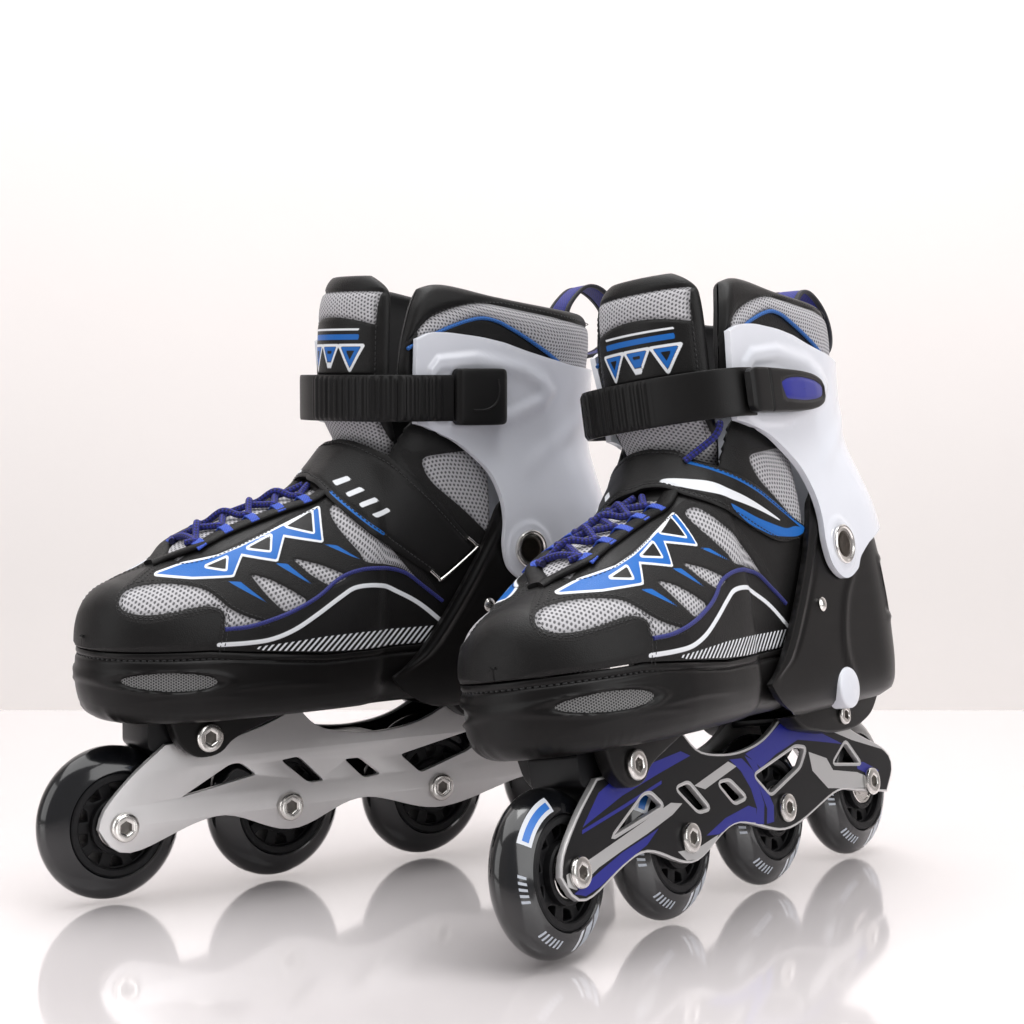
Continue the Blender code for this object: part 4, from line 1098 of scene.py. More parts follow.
def toeShell():
    shell = {"vent": (-13.0, 104.6, 20.0, 4.2), "sweep": 0.9, "groove": 1.1, "toeRibs": 0.35}
    ring = soleRing()
    tangent = np.gradient(ring, axis=0)
    out = unit(np.stack([-tangent[:, 1], tangent[:, 0]], 1))
    if out[0, 1] < 0:
        out = -out
    levels = [(84.0, 30.0), (84.0, 14.0), (84.15, 11.6), (84.7, 9.6), (85.6, 7.6), (86.8, 5.8), (88.4, 4.1),
              (90.3, 2.7)]
    levels += [(92 + k * 0.75, None) for k in range(36)]
    rows = []
    rim = rimZ(ring[:, 0])
    for z, inset in levels:
        if inset is None:
            share = (z - 92) / (35 * 0.75)
            height = 92 + share * (rim - 0.6 - 92)
            inset = along(height, [(90, 2.9), (93, 1.7), (97, 0.7), (101, 0.15), (106, 0.0), (112, 0.3),
                                   (119, 0.8)])
        else:
            height = np.full(len(ring), z)
            inset = np.full(len(ring), inset)
        side = np.abs(ring[:, 1])
        x = ring[:, 0]
        push = np.zeros(len(ring))
        # oval vent with a raised lip, sweeping creases, and the groove under the rim
        vx, vz, va, vb = shell["vent"]
        lean = height - vz - (x - vx) * 0.03
        e = ((x - vx) / va) ** 2 + (lean / vb) ** 2
        push += 0.9 * np.exp(-((np.sqrt(e) - 1.25) / 0.16) ** 2) - 1.6 * step(-e, -1.15, -0.85)
        for zc, x0, x1, size in ((111.5, -110, 12, 0.55), (99.0, -100, -20, 0.5), (96.0, -60, 8, 0.45)):
            line = zc + 3.0 * np.sin((x - x0) / (x1 - x0) * pi) - 1.5
            ends = step(x, x0, x0 + 25) * step(-x, -x1, -x1 + 25)
            push += shell["sweep"] * size * np.exp(-((height - line) / 1.3) ** 2) * ends
        push -= shell["groove"] * np.exp(-((height - rim + 3.4) / 0.7) ** 2)
        push += shell["toeRibs"] * np.sin(x * 2.4) * step(x, -30, -8) * step(-height, -93, -89)
        p = ring - out * (inset - push)[:, None]
        rows.append(np.column_stack([p, height]))
    for dz, inset in ((-0.25, 1.0), (0.0, 1.5), (0.0, 3.0), (-0.3, 3.6), (-8, 3.8), (-20, 4.5)):
        p = ring - out * inset
        rows.append(np.column_stack([p, rim + dz]))
    rows = np.array(rows)
    body = gridMesh("toeShell", rows, [blackShell], outFrom=(-80, 0, 108))
    cap = meshFrom("soleCap", rows[0], [tuple(range(rows.shape[1]))], [blackShell])
    turnOut(cap, (-80, 0, 200))
    ear = runs(([(-20, 90), (-23, 80), (-26, 73.5), (-33, 67.8), (-40, 66.8), (-47, 68.5), (-56, 75), (-88, 86),
                 (-92, 90)], 40), ([(-92, 90), (-20, 90)], 2))
    ears = [flatShape("ear", [ear], *sorted((side * 16.35, side * sole["ear"])), [blackShell], 1.2, 3)
            for side in (1, -1)]
    pair("ToeShell", joined("toeShell", body, cap, *ears), "toe_part", ["toe_shell"])
    # seam stitches in the groove and mesh behind the vent
    seam = np.column_stack([ring - out * 1.5, rim - 3.4])
    normals = np.column_stack([out, np.zeros(len(ring))])
    pair("SoleStitches", dashes("soleStitches", seam[6:-6], normals[6:-6], [thread], 3.0, 2.2, 0.9, 0.5),
         "toe_part")
    vent = []
    for sign in (1, -1):
        patch = []
        pick = (np.abs(ring[:, 0] - shell["vent"][0]) < 20.5) & (ring[:, 1] * sign > 0)
        for dz in np.linspace(-4.6, 4.6, 9):
            lean = (ring[pick, 0] - shell["vent"][0]) * 0.03
            patch.append(np.column_stack([ring[pick] - out[pick] * 0.9, shell["vent"][1] + dz + lean]))
        patch = np.array(patch)
        vent.append(gridMesh("vent", patch, [ventCloth], outFrom=(-20, 0, 100)))
    pair("VentMesh", joined("ventMesh", *vent), "toe_part")


toeShell()
print("toe shell done")


# heel shell, with the ankle uprights

heel = {"centre": -240.0, "power": 0.85, "wall": 3.0, "edge": 0.9, "arc": 72.0}


def heelPoint(q, z, lift=0.0):
    # q runs in mm from the front edge line x = -118 round to the middle of the heel
    wide = along(z, [(79.5, 35), (83, 40.5), (92, 43.5), (112, 44), (130, 44), (150, 43.2), (172, 41.3),
                     (188, 38.9)]) + lift
    rear = along(z, [(79.5, -276), (83, -283), (92, -285), (112, -287), (130, -286), (150, -282.5), (172, -278),
                     (188, -276)]) - lift
    straight = heel["centre"] + 118
    a = np.clip((q + straight) / heel["arc"], 0, 1) * pi / 2
    x = np.where(q < -straight, -118 - q, heel["centre"] - (heel["centre"] - rear) * np.sin(a) ** heel["power"])
    y = np.where(q < -straight, wide, wide * np.maximum(np.cos(a), 0) ** heel["power"])
    return x, y, z + 0 * x


heelEnd = -(heel["centre"] + 118) + heel["arc"]


def halfShell(place, lowKnots, highKnots, columns, rows, push, midKnots=None):
    # a shell between two edge lines given in (q, z), mirrored across the middle into one surface
    if midKnots is None:
        midKnots = (np.array(lowKnots) + np.array(highKnots)) / 2
    lines = spline(np.hstack([lowKnots, midKnots, highKnots]), columns)
    low, mid, high = lines[:, :2], lines[:, 2:4], lines[:, 4:]
    s = np.linspace(0, 2, rows)[:, None, None]
    flat = np.where(s < 1, low[None] * (1 - s) + mid[None] * s, mid[None] * (2 - s) + high[None] * (s - 1))
    q, z = flat[..., 0], flat[..., 1]
    side = np.stack(place(q, z, push(q, z)), -1)
    other = side[:, ::-1][:, 1:] * (1, -1, 1)
    return np.concatenate([side, other], 1)


def heelShell():
    def q(x):
        return -118 - x
    top = [(q(-131), 98), (q(-145), 108), (q(-159), 124), (q(-183), 157), (q(-196), 179), (q(-205), 185),
           (q(-215), 181.5), (q(-226), 176), (q(-240), 166), (heelEnd - 60, 161), (heelEnd - 30, 160),
           (heelEnd, 160)]
    low = [(q(-131), 97.4), (q(-136), 92), (q(-142), 87.5), (q(-152), 83), (q(-163), 80.4), (q(-178), 80),
           (q(-195), 80), (q(-215), 80), (q(-232), 80), (heelEnd - 62, 80), (heelEnd - 30, 80), (heelEnd, 80)]

    def push(q, z):
        x = -118 - q
        made = np.zeros(q.shape)
        # a raised rib beside the front edge and a second one toward the heel
        front = along(z, [(98, -131), (108, -145), (124, -159), (157, -183), (179, -196)])
        d = front - x
        made += 0.9 * np.exp(-((d - 5.0) / 2.2) ** 2) * step(z, 96, 108)
        made -= 0.5 * np.exp(-((d - 10.5) / 1.8) ** 2) * step(z, 100, 115)
        rib = along(z, [(80, -215), (105, -206), (130, -212), (160, -236)])
        made += 0.8 * np.exp(-((rib - x) / 2.5) ** 2) * step(z, 84, 95) * step(-z, -158, -140)
        slot = np.maximum(np.abs(q - (heelEnd - 52)) / 4.5, np.abs(z - 133) / 11.0)
        made -= 2.2 * step(-slot, -1.15, -0.9)
        made += 0.7 * np.exp(-((slot - 1.35) / 0.15) ** 2)
        return np.clip(made, -2.4, 1.0)
    points = halfShell(heelPoint, low, top, 90, 56, push)
    shell = gridMesh("heelShell", points, [blackShell], outFrom=(-190, 0, 120))
    shell = walled(shell, heel["wall"], heel["edge"])
    x, y, _ = heelPoint(np.linspace(q(-165), heelEnd, 60), np.full(60, 80.2), -2.5)
    ring = np.concatenate([np.column_stack([x, y]), np.column_stack([x, -y])[::-1]])
    floor = meshFrom("heelFloor", np.column_stack([ring, np.full(len(ring), 79.6)]), [tuple(range(len(ring)))],
                     [blackShell])
    turnOut(floor, (-200, 0, 200))
    skirt = rounded([(-172, 84), (-176, 81.5), (-186, 73), (-215, 67.5), (-238, 67), (-256, 72), (-266, 81.5),
                     (-268, 84)], 6.0, 5)
    skirts = [flatShape("skirt", [skirt], *sorted((side * 16.35, side * 27.0)), [blackShell], 1.3, 3)
              for side in (1, -1)]
    pair("HeelShell", joined("heelShell", shell, floor, *skirts), "skate", ["heel_shell"])
    rivet = turned("rivet", [(0.01, 0.0), (3.4, 0.0), (3.4, 0.7), (2.6, 1.4), (1.2, 1.8), (0.01, 1.9)], [chrome],
                   32)
    for sign, side in ((1, "Outer"), (-1, "Inner")):
        one = mirrored(rivet) if sign < 0 else rivet
        pair("HeelRivet" + side, one, "skate", at=(-187, sign * 44.2, 130))
    # size button
    button = turned("button", [(9.9, -7.0), (9.9, 0.2), (9.5, 0.9), (8.6, 1.35), (5.0, 1.7), (0.01, 1.8)],
                    [whiteShell], 64)
    pair("Button", button, "button", ["size_button"], (-203, 44.0, 88.5))


heelShell()
print("heel shell done")


# white cuff

cuff = {"wall": 3.0, "edge": 0.7, "front": -134.0, "arc": 66.0, "panel": 1.3, "rib": 0.8}


def cuffPoint(q, z, lift=0.0):
    # q runs in mm from the front edge round to the middle of the heel
    front, arc = cuff["front"], cuff["arc"]
    wide, rear, centre = along(z, cuffWide) + lift, along(z, cuffRear) - lift, along(z, cuffCentre)
    straight = front - centre
    power = along(z, [(170, 0.85), (210, 1.0)])
    q = np.asarray(q, float) * (straight + arc) / (100 + arc)       # q from 0 to 100 + arc
    a = np.clip((q - straight) / arc, 0, 1) * pi / 2
    x = np.where(q < straight, front - q, centre - (centre - rear) * np.sin(a) ** power)
    y = np.where(q < straight, wide, wide * np.maximum(np.cos(a), 0) ** power)
    return x, y, z + 0 * x


# height, half width, rear x and the x where the rear curve begins
cuffRows = ((138, 47.5, -284, -240), (157, 46.9, -283, -240), (175, 45.2, -280, -239), (192, 42.2, -277, -234),
            (208, 39.4, -275, -228), (222, 38.8, -276, -226), (240, 39.4, -277.6, -226), (266, 41.5, -277, -228))
cuffWide, cuffRear, cuffCentre = ([(row[0], row[k]) for row in cuffRows] for k in (1, 2, 3))


def cuffQ(x, z):
    centre = float(along(z, cuffCentre))
    straight = cuff["front"] - centre
    return (cuff["front"] - x) * (100 + cuff["arc"]) / (straight + cuff["arc"])


def cuffShell():
    end = 100 + cuff["arc"]
    high = [(-139, 261), (-149, 264), (-162, 264.5), (-174, 263.5), (-184, 262.4), (-192, 261), (-199, 259.6),
            (-206, 257.6), (-213, 255.6), (-221, 253.6), (-229, 251.6)]
    low = [(-140, 220), (-154, 217), (-171, 211), (-187, 199), (-194.5, 186), (-196.3, 172), (-194.8, 159),
           (-198, 147.5), (-209, 140.6), (-222, 144), (-229, 151)]
    mid = [(-139.8, 238), (-152, 236), (-167, 234), (-181, 226), (-190.5, 213), (-198.2, 191), (-203.0, 181),
           (-207.5, 174), (-213, 171), (-221, 172), (-229, 178)]
    mid = [(cuffQ(x, z), z) for x, z in mid] + [(112, 196), (132, 198), (150, 198), (end, 198)]
    high = [(cuffQ(x, z), z) for x, z in high] + [(112, 248.6), (132, 246.6), (150, 246), (end, 246)]
    low = [(cuffQ(x, z), z) for x, z in low] + [(112, 161), (132, 163), (150, 163), (end, 163)]
    panel = [(-157, 253), (-182, 255), (-212, 250), (-226, 243), (-232, 235), (-226, 227), (-206, 219), (-182, 216),
             (-160, 216.5), (-150, 221), (-149, 247)]
    inset = grown(panel, -7.0)

    def push(q, z):
        x, _, _ = cuffPoint(q, z)
        outer = insideDistance(x, z, panel)
        inner = insideDistance(x, z, inset)
        made = cuff["panel"] * step(outer, -1.5, 2.5) - 1.2 * step(inner, -1.5, 2.0)
        crease = z - (196 + (-210 - x) * 0.58)      # the fold that runs up and back from the pivot arm
        made += cuff["rib"] * np.exp(-(crease / 5.0) ** 2) * step(-x, 205, 220) * step(x, -270, -250)
        ring = np.hypot(x + 210, z - 157)
        made += 0.6 * step(-ring, -14.5, -12.5)
        return np.minimum(made, 1.4)
    points = halfShell(cuffPoint, low, high, 150, 70, push, mid)
    inner = points[..., 1] < 0      # the inner side's front edge stands a little further back
    points[..., 0] = np.where(inner, points[..., 0] - 7 * step(points[..., 0], -165, -139), points[..., 0])
    shell = gridMesh("cuff", points, [whiteShell], outFrom=(-205, 0, 200))
    return walled(shell, cuff["wall"], cuff["edge"])


pair("Cuff", cuffShell(), "cuff_part", ["cuff"])
for sign, side in ((1, "lateral"), (-1, "medial")):
    pivot = turned("pivot", [(3.5, 39.6), (3.5, 47.5), (9.4, 47.5), (9.6, 48.1), (9.4, 48.9), (8.9, 49.3),
                             (8.3, 49.2), (7.7, 48.6), (6.0, 48.3), (3.0, 48.15), (0.01, 48.1)], [chrome], 64)
    pivot = joined("pivot", pivot, turned("pivotEye", [(6.6, 48.25), (6.2, 48.5), (4.5, 48.42), (2.0, 48.36),
                                                       (0.01, 48.35)], [pivotEye], 48))
    if sign < 0:
        pivot = mirrored(pivot)
    pair("Pivot" + side.capitalize(), pivot, "skate", ["cuff_pivot_" + side], (-210, 0, 157))
print("cuff done")


# soft upper

upper = {"wall": 1.4, "raise": 0.7, "puff": 0.9, "stations": 205, "around": 215}
viewTurn = radians(36.4)     # decoration is laid out on a plane turned this far from the side


def insteps(x):
    return along(x, [(13.5, 124), (11, 136), (3, 145), (-7, 149), (-28, 157), (-45, 167), (-61, 173), (-87, 181),
                     (-105, 186), (-118, 196), (-127, 206), (-140, 225), (-155, 240), (-195, 240)])


def squareness(x):
    # power of the section's superellipse
    return along(x, [(-195, 3.4), (-150, 3.4), (-128, 2.9), (-105, 2.4), (-60, 2.2), (13.5, 2.2)])


def upperPoint(x, a):
    n = squareness(x)
    low = rimZ(x) + 0.6
    y = centreY(x) + (halfWidth(x) - 0.8) * np.sign(np.cos(a)) * np.abs(np.cos(a)) ** (2 / n)
    z = low + (insteps(x) - low) * np.maximum(np.sin(a), 0.0) ** (2 / n)
    return np.stack([x + 0 * y, y, z], -1)


def layout(points):
    x, y, z = points[..., 0], points[..., 1], points[..., 2]
    return x * cos(viewTurn) - np.abs(y - centreY(x)) * sin(viewTurn), z


def onUpperAt(h, v, sign):
    # the upper's surface point on one side that shows at (h, v) on the layout plane
    h, v = np.broadcast_arrays(np.asarray(h, float), np.asarray(v, float))
    probe = np.linspace(-195, 13.4, 600)[::-1]
    ridge = np.maximum.accumulate(insteps(probe))
    front = np.interp(v, ridge, probe)
    low, high = np.full(h.shape, -195.0), front.copy()

    def sideways(x):
        n = squareness(x)
        base = rimZ(x) + 0.6
        t = np.clip((v - base) / np.maximum(insteps(x) - base, 1e-6), 0, 1)
        return np.maximum(halfWidth(x) - 0.8, 0) * (1 - t ** n) ** (1 / n)
    for _ in range(40):
        x = (low + high) / 2
        ahead = x * cos(viewTurn) - sideways(x) * sin(viewTurn) > h
        high, low = np.where(ahead, x, high), np.where(ahead, low, x)
    x = (low + high) / 2
    return np.stack([x, centreY(x) + sign * sideways(x), v + 0 * x], -1)


def topPoint(x, y, lift=0.0):
    n = squareness(x)
    base = rimZ(x) + 0.6
    t = min(abs(y) / (float(halfWidth(x)) - 0.8 + lift), 1.0)
    z = float(base) + (float(insteps(x)) - float(base) + lift) * (1 - t ** n) ** (1 / n)
    return np.array((x, float(centreY(x)) + y, z))


sewing = {
    "toeWindow": [(-7, 140.0), (-9.6, 145.0), (-18.1, 147.3), (-30.7, 147.9), (-45.2, 145.7), (-52.5, 141.4),
                  (-57.5, 137.2), (-64.7, 133.2), (-73.3, 129.6), (-66.5, 128.9), (-56.5, 128.5), (-55.3, 135.4),
                  (-49.2, 138.2), (-40.6, 137.6), (-32.1, 135.9), (-19.9, 135.0), (-11, 136.3)],
    "slashA": [(-66.0, 151.8), (-75.2, 148.9), (-84, 144), (-92.8, 138.0), (-82.7, 133.2), (-74, 142)],
    "slashB": [(-84.2, 158.0), (-97.8, 154.1), (-111, 148.0), (-102.4, 143.8), (-93, 150)],
    "upWindow": [(-100.7, 180.1), (-107.1, 181.5), (-116.5, 173.1), (-127.2, 162.5), (-138.0, 148.9),
                 (-145.2, 140.1), (-136.2, 149.1), (-127.3, 152.5), (-117.8, 154.7), (-115.1, 158.9),
                 (-107.8, 167.1), (-101.9, 174.9)],
    "ankleWindow": [(-142.3, 203.6), (-161.6, 205.9), (-196, 208), (-201, 190), (-200, 176), (-184, 157.8),
                    (-176.1, 164.6), (-163.7, 177.6), (-147.1, 192.3)],
    "zigzag": [(-22.3, 151.4), (-34.5, 155.6), (-50.8, 159.0), (-61.1, 163.0), (-71.0, 167.7), (-80.9, 172.5),
               (-94.9, 179.4), (-97.3, 164.8), (-79.8, 167.9), (-77.6, 157.1), (-61.5, 160.1), (-58.4, 151.1),
               (-40, 150.4)],
    "triangles": [[(-46.0, 154.9), (-55.0, 158.6), (-55.0, 153.6)],
                  [(-64.4, 162.5), (-74.1, 167.6), (-74.3, 161.2)],
                  [(-81.1, 171.6), (-91.8, 178.0), (-93.2, 168.7)]],
    "slivers": [[(-56.4, 148.6), (-62.1, 148.2), (-75.2, 137.9)], [(-77.0, 155.8), (-82.5, 155.2), (-95.1, 144.4)],
                [(-98.3, 163.4), (-104.4, 162.5), (-117.8, 154.2)]],
    "piping": [(-55.8, 127.7), (-66.5, 128.2), (-76.7, 130.6), (-86.6, 134.2), (-96.5, 139.6), (-106.6, 147.7),
               (-116.9, 151.0), (-127.3, 150.6), (-136.2, 147.6), (-145.2, 140.1), (-153.5, 132.9)],
    "band": [(-53.3, 120.9), (-66.6, 120.9), (-76.7, 121.8), (-86.6, 125.4), (-96.6, 131.7), (-106.7, 138.9),
             (-113.6, 142.8), (-123.9, 142.9), (-131.7, 139.2), (-143.4, 131.8), (-156.3, 120.0)],
    "capEdge": [(-22.1, 158.8), (-15.8, 152.9), (-8.8, 147.1), (-5.3, 141.6), (-8.0, 134.4), (-20.1, 131.2),
                (-40.8, 134.1), (-51.9, 135.4), (-54.4, 132.0), (-53.7, 127.7), (-52.0, 117.7)],
    "placket": [(-24.1, 157.5), (-36.1, 157.4), (-47.1, 159.7), (-59.1, 164.6), (-70.7, 170.0), (-80.5, 175.6),
                (-95.9, 181.4)],
    "hatch": [(-68, 118.6), (-83.3, 119.6), (-100.1, 121), (-117.1, 121.4), (-134.4, 121), (-154.4, 121),
              (-146, 111.5), (-117.1, 112.9), (-100.1, 114.0), (-73.3, 116.8)],
}


def upperZones(points):
    h, v = layout(points)
    zone = {}
    windows = [spline(sewing["toeWindow"], 80, True), spline(sewing["upWindow"], 70, True),
               rounded(sewing["slashA"], 3), rounded(sewing["slashB"], 3), rounded(sewing["ankleWindow"], 6)]
    x, y = points[..., 0], np.abs(points[..., 1] - centreY(points[..., 0]))
    throat = 12.0 - y       # the mesh seen between the lacing edges
    throat = np.minimum(throat, np.minimum(-30 - x, x + 108))
    zone["meshZone"] = np.maximum(insideAny(h, v, windows), throat)
    cap = insideDistance(h, v, list(spline(sewing["capEdge"], 70)) + [(40, 110), (40, 175), (-15, 175)])
    lower = insideDistance(h, v, list(spline(sewing["piping"], 60)) + [(-175, 118), (-175, 105), (-52, 105)])
    edge = insideDistance(h, v, [(-22, 162), (-24.1, 157.5)] + list(spline(sewing["placket"], 40))
                          + [(-104, 186), (-116, 181), (-127, 171), (-138, 158), (-149, 140.8), (-158, 128),
                             (-178, 128), (-176, 153), (-160, 172), (-144, 190), (-134, 204), (-133, 240),
                             (-40, 240), (-20, 200)])
    rear = insideDistance(h, v, [(-139, 206), (-205, 210), (-205, 250), (-100, 250), (-125, 215)])
    outerRear = insideDistance(h, v, [(-196, 110), (-178, 128), (-186, 160), (-215, 160), (-215, 105)])
    zone["blackZone"] = np.minimum(np.maximum.reduce([cap, lower, edge, rear, outerRear]), -zone["meshZone"])
    zigzag = insideDistance(h, v, sewing["zigzag"])
    triangles, slivers = (insideAny(h, v, sewing[k]) for k in ("triangles", "slivers"))
    band = 1.0 - lineDistance(h, v, spline(sewing["band"], 60))
    zone["hatchZone"] = insideDistance(h, v, sewing["hatch"])
    zone["hatchRun"] = (h + (v - 112) * 0.8) / 2.7
    zone["whiteZone"] = np.maximum(zigzag + 0.9, band)
    zone["skyZone"] = np.maximum.reduce([np.minimum(zigzag, -triangles - 0.9), slivers])
    zone["inkZone"] = triangles
    return zone


def surfaceFinder(points, normals):
    # surface points and their normals along a line on the layout plane, on either side
    grid, normal = points.reshape(-1, 3), normals.reshape(-1, 3)

    def find(line, sign):
        base = onUpperAt(line[:, 0], line[:, 1], sign)
        found, ways = [], []
        for p in base:
            d = np.sum((grid - p) ** 2, 1)
            near = np.argpartition(d, 5)[:5]
            n = normal[near].mean(0)
            n /= np.linalg.norm(n)
            found.append(p + n * np.mean((grid[near] - p) @ n))
            ways.append(n)
        return np.array(found), np.array(ways)
    return find


def gridNormals(points):
    du, dv = np.gradient(points, axis=0), np.gradient(points, axis=1)
    n = unit(np.cross(du, dv))
    centre = points.mean((0, 1))
    if np.sum(n * (points - centre)) < 0:
        n = -n
    return n


def upperPiece():
    t = np.linspace(0, 1, upper["stations"])
    x = np.where(t < 0.15, 13.2 - 9 * (t / 0.15) ** 2.2, 4.2 - (193 + 4.2) * (t - 0.15) / 0.85)
    fine = np.concatenate([[0], np.geomspace(1e-6, pi / 2, 260)])
    fine = np.concatenate([fine, pi - fine[:-1][::-1]])
    turns = []
    for at in x:
        length = runLength(upperPoint(np.float64(at), fine))
        turns.append(np.interp(np.linspace(0, length[-1], upper["around"]), length, fine))
    turns = np.array(turns)
    ways = np.repeat(x[:, None], upper["around"], 1)
    points = upperPoint(ways, turns)
    nose = []       # rows that close the front
    for f in (0.0, 0.2, 0.4, 0.6, 0.78, 0.92):
        row = points[0].copy()
        row[:, 0] += 0.35 * (1 - f * f)
        row[:, 1] = centreY(row[:, 0]) + (row[:, 1] - centreY(row[:, 0])) * f
        row[:, 2] -= (1 - f) * 0.8 * step(row[:, 2], 120, 127)
        nose.append(row)
    points = np.concatenate([np.array(nose), points])
    ways, turns = (np.concatenate([np.repeat(g[:1], len(nose), 0), g]) for g in (ways, turns))
    for _ in range(18):
        points[1:24] = (points[:23] + points[1:24] * 2 + points[2:25]) / 4
    zone = upperZones(points)
    normals = gridNormals(points)
    lift = upper["raise"] * step(-zone["meshZone"], -0.4, 0.6)
    lift += upper["puff"] * (1 - np.exp(-np.maximum(zone["meshZone"], 0) / 5.0)) * 0.9
    lift += 0.25 * step(zone["whiteZone"], -0.3, 0.3)
    lift *= np.minimum(1, (ways + 193) / 6) * step(np.sin(turns), 0.0, 0.08)
    points = points + normals * lift[..., None]
    keep = ~((ways < -127) & (np.abs(points[..., 1]) < 29) & (points[..., 2] > 182))
    keep &= points[..., 2] < 223
    mesh = gridMesh("upper", points, [upperCloth], attributes=zone, outFrom=(-80, 0, 120))
    kept = keep.ravel()
    with editing(mesh) as bm:
        bmesh.ops.delete(bm, geom=[f for f in bm.faces if not all(kept[v.index] for v in f.verts)], context="FACES")
    mesh = refined(mesh, ("SOLIDIFY", {"thickness": upper["wall"] * mm, "offset": -1.0}))
    pair("Upper", mesh, "toe_part", ["upper"])
    find = surfaceFinder(points, normals)
    sewn, cord = [], []
    lines = [("capEdge", 1.6, 70), ("capEdge", 3.4, 70), ("placket", -1.6, 50), ("toeWindow", -1.4, 90)]
    for sign in (1, -1):
        for label, shift, count in lines:
            line = spline(sewing[label], count, label == "toeWindow")
            if label == "toeWindow":
                line = grown(line, 1.3)
                line = np.vstack([line, line[:1]])
            else:
                d = unit(np.gradient(line, axis=0))
                line = line + np.column_stack([-d[:, 1], d[:, 0]]) * -shift
            p, n = find(line, sign)
            sewn.append(dashes("stitch", p, n, [thread], 2.3, 1.5, 0.5, 0.35))
        p, n = find(spline(sewing["piping"], 60), sign)
        cord.append(tube("piping", p + n * 0.2, 1.0, [royalCord], 8))
    pair("UpperStitches", joined("stitches", *sewn), "toe_part")
    pair("UpperPiping", joined("piping", *cord), "toe_part")


upperPiece()
print("upper done")


# lacing

lacing = {"radius": 1.65, "edge": 14.5, "rows": 5, "first": -40.0, "pitch": 14.5}


def placketPiece():
    # the flat rolled edges that carry the lace loops, meeting at the toe
    made, loops = [], []
    for sign in (1, -1):
        knots = []
        for x in np.linspace(-23, -114, 22):
            y = sign * max(lacing["edge"] * float(step(-x, 21, 44)), 0.2)
            knots.append(topPoint(x, y, 0.9))
        path = spline(knots, 90)
        across = [p[1] - float(centreY(p[0])) for p in path]
        ups = np.array([topPoint(p[0], y, 3.0) - topPoint(p[0], y, 0.0) for p, y in zip(path, across)])
        made.append(tube("placketEdge", path, 4.6, [blackLeather], 16, 0.42, up=ups))
        for k in range(lacing["rows"]):
            x = lacing["first"] - lacing["pitch"] * k
            strip = []
            for t in np.linspace(0, 1, 16):
                y = sign * (lacing["edge"] + 4.4 - 9.6 * t)
                roll = 2.6 + 0.5 * sin(pi * t) - 2.6 * max(0.0, t - 0.72) / 0.28
                a, b = topPoint(x + 2.3, y, roll), topPoint(x - 2.3, y, roll)
                strip.append((a, b))
            tape = gridMesh("laceLoop", strip, [loopWeb], outFrom=tuple(topPoint(x, 0, -60)))
            loops.append(walled(tape, 0.9, 0.25, 0.0, 2))
    pair("PlacketEdges", joined("placket", *made), "toe_part")
    pair("LaceLoops", joined("laceLoops", *loops), "toe_part")


def laceRun(first, rise):
    knots = []
    for k in range(lacing["rows"]):
        x = lacing["first"] - lacing["pitch"] * k
        side = first if k % 2 == 0 else -first
        reach = lacing["edge"] - 4.2
        if k:
            knots.append(topPoint(x + lacing["pitch"] * 0.5, 0.0, rise))
        knots += [topPoint(x + 2.6, side * (reach - 3.5), 2.8), topPoint(x + 0.6, side * reach, 3.0),
                  topPoint(x - 0.9, side * (reach + 0.4), 2.2),
                  topPoint(x - 2.6, side * (reach - 3.0), 2.2)]
    knots.append(topPoint(-108, side * 2.0, 2.4))
    return tube("lace", spline(knots, 300), lacing["radius"], [lace], 12)


def laceBar():
    knots = [topPoint(-40.5, y, 3.4 - abs(y) * 0.08) for y in (-10.5, -5, 0, 5, 10.5)]
    return tube("laceBar", spline(knots, 30), lacing["radius"], [lace], 12)


def laceTail():
    knots = [(-123, 18, 204), (-127.5, 24, 208.5), (-132, 29.5, 213), (-135, 31.5, 217), (-138, 30.5, 219.5),
             (-141, 28, 219)]
    return tube("laceTail", spline(knots, 60), lacing["radius"], [lace], 10)


placketPiece()
pair("Lace", joined("laces", laceRun(1, 3.2), laceRun(-1, 5.6), laceBar()), "toe_part", ["lace"])
pair("LaceTail", laceTail(), "toe_part", sides=("left",))
print("lacing done")


# instep strap

strap = {"wall": 2.6, "steps": 150, "across": 44, "edge": 0.8}

strapEdges = {      # edges on the layout plane, from the ridge down each side
    1: ([(-80, 190.5), (-97.1, 190.4), (-104, 187), (-113.7, 182.3), (-126.6, 175.3), (-139.2, 168.1),
         (-153.3, 162.2), (-166, 161.6), (-173.5, 163)],
        [(-95, 210), (-109, 208.2), (-114.7, 203.7), (-124.6, 199.0), (-141.9, 190.0), (-157.7, 179.1),
         (-167.5, 172.6), (-174, 168.8), (-176, 167)]),
    -1: ([(-80, 190.5), (-92, 188.8), (-99, 184.0), (-107.6, 177.2), (-120.0, 167.0), (-131.8, 158.0),
          (-141, 151.2), (-150.1, 144.4)],
         [(-95, 210), (-112, 209.5), (-121, 207.0), (-131.4, 201.4), (-145.9, 187.6), (-153, 179.6),
          (-160.3, 170.4), (-168.7, 160.1)])}
strapArt = {
    "crescent": [(-98, 192.6), (-104, 193.8), (-115.5, 192.2), (-130.0, 185.9), (-142.0, 179.7), (-156.1, 171.2),
                 (-138.8, 178.3), (-119.1, 185.4), (-106, 189.6)],
    "wedge": [(-123.6, 181.4), (-131.7, 172.9), (-142.1, 167.6), (-150.9, 164.7), (-167.1, 163.4), (-173.5, 166.0),
              (-166.9, 168.2), (-159.8, 167.6), (-152.0, 169.5), (-137.8, 174.5)],
    "line": [(-112.0, 201.6), (-125.7, 195.6), (-141.2, 187.6), (-151.7, 181.0), (-163.2, 173.4), (-173.0, 167.0)]}


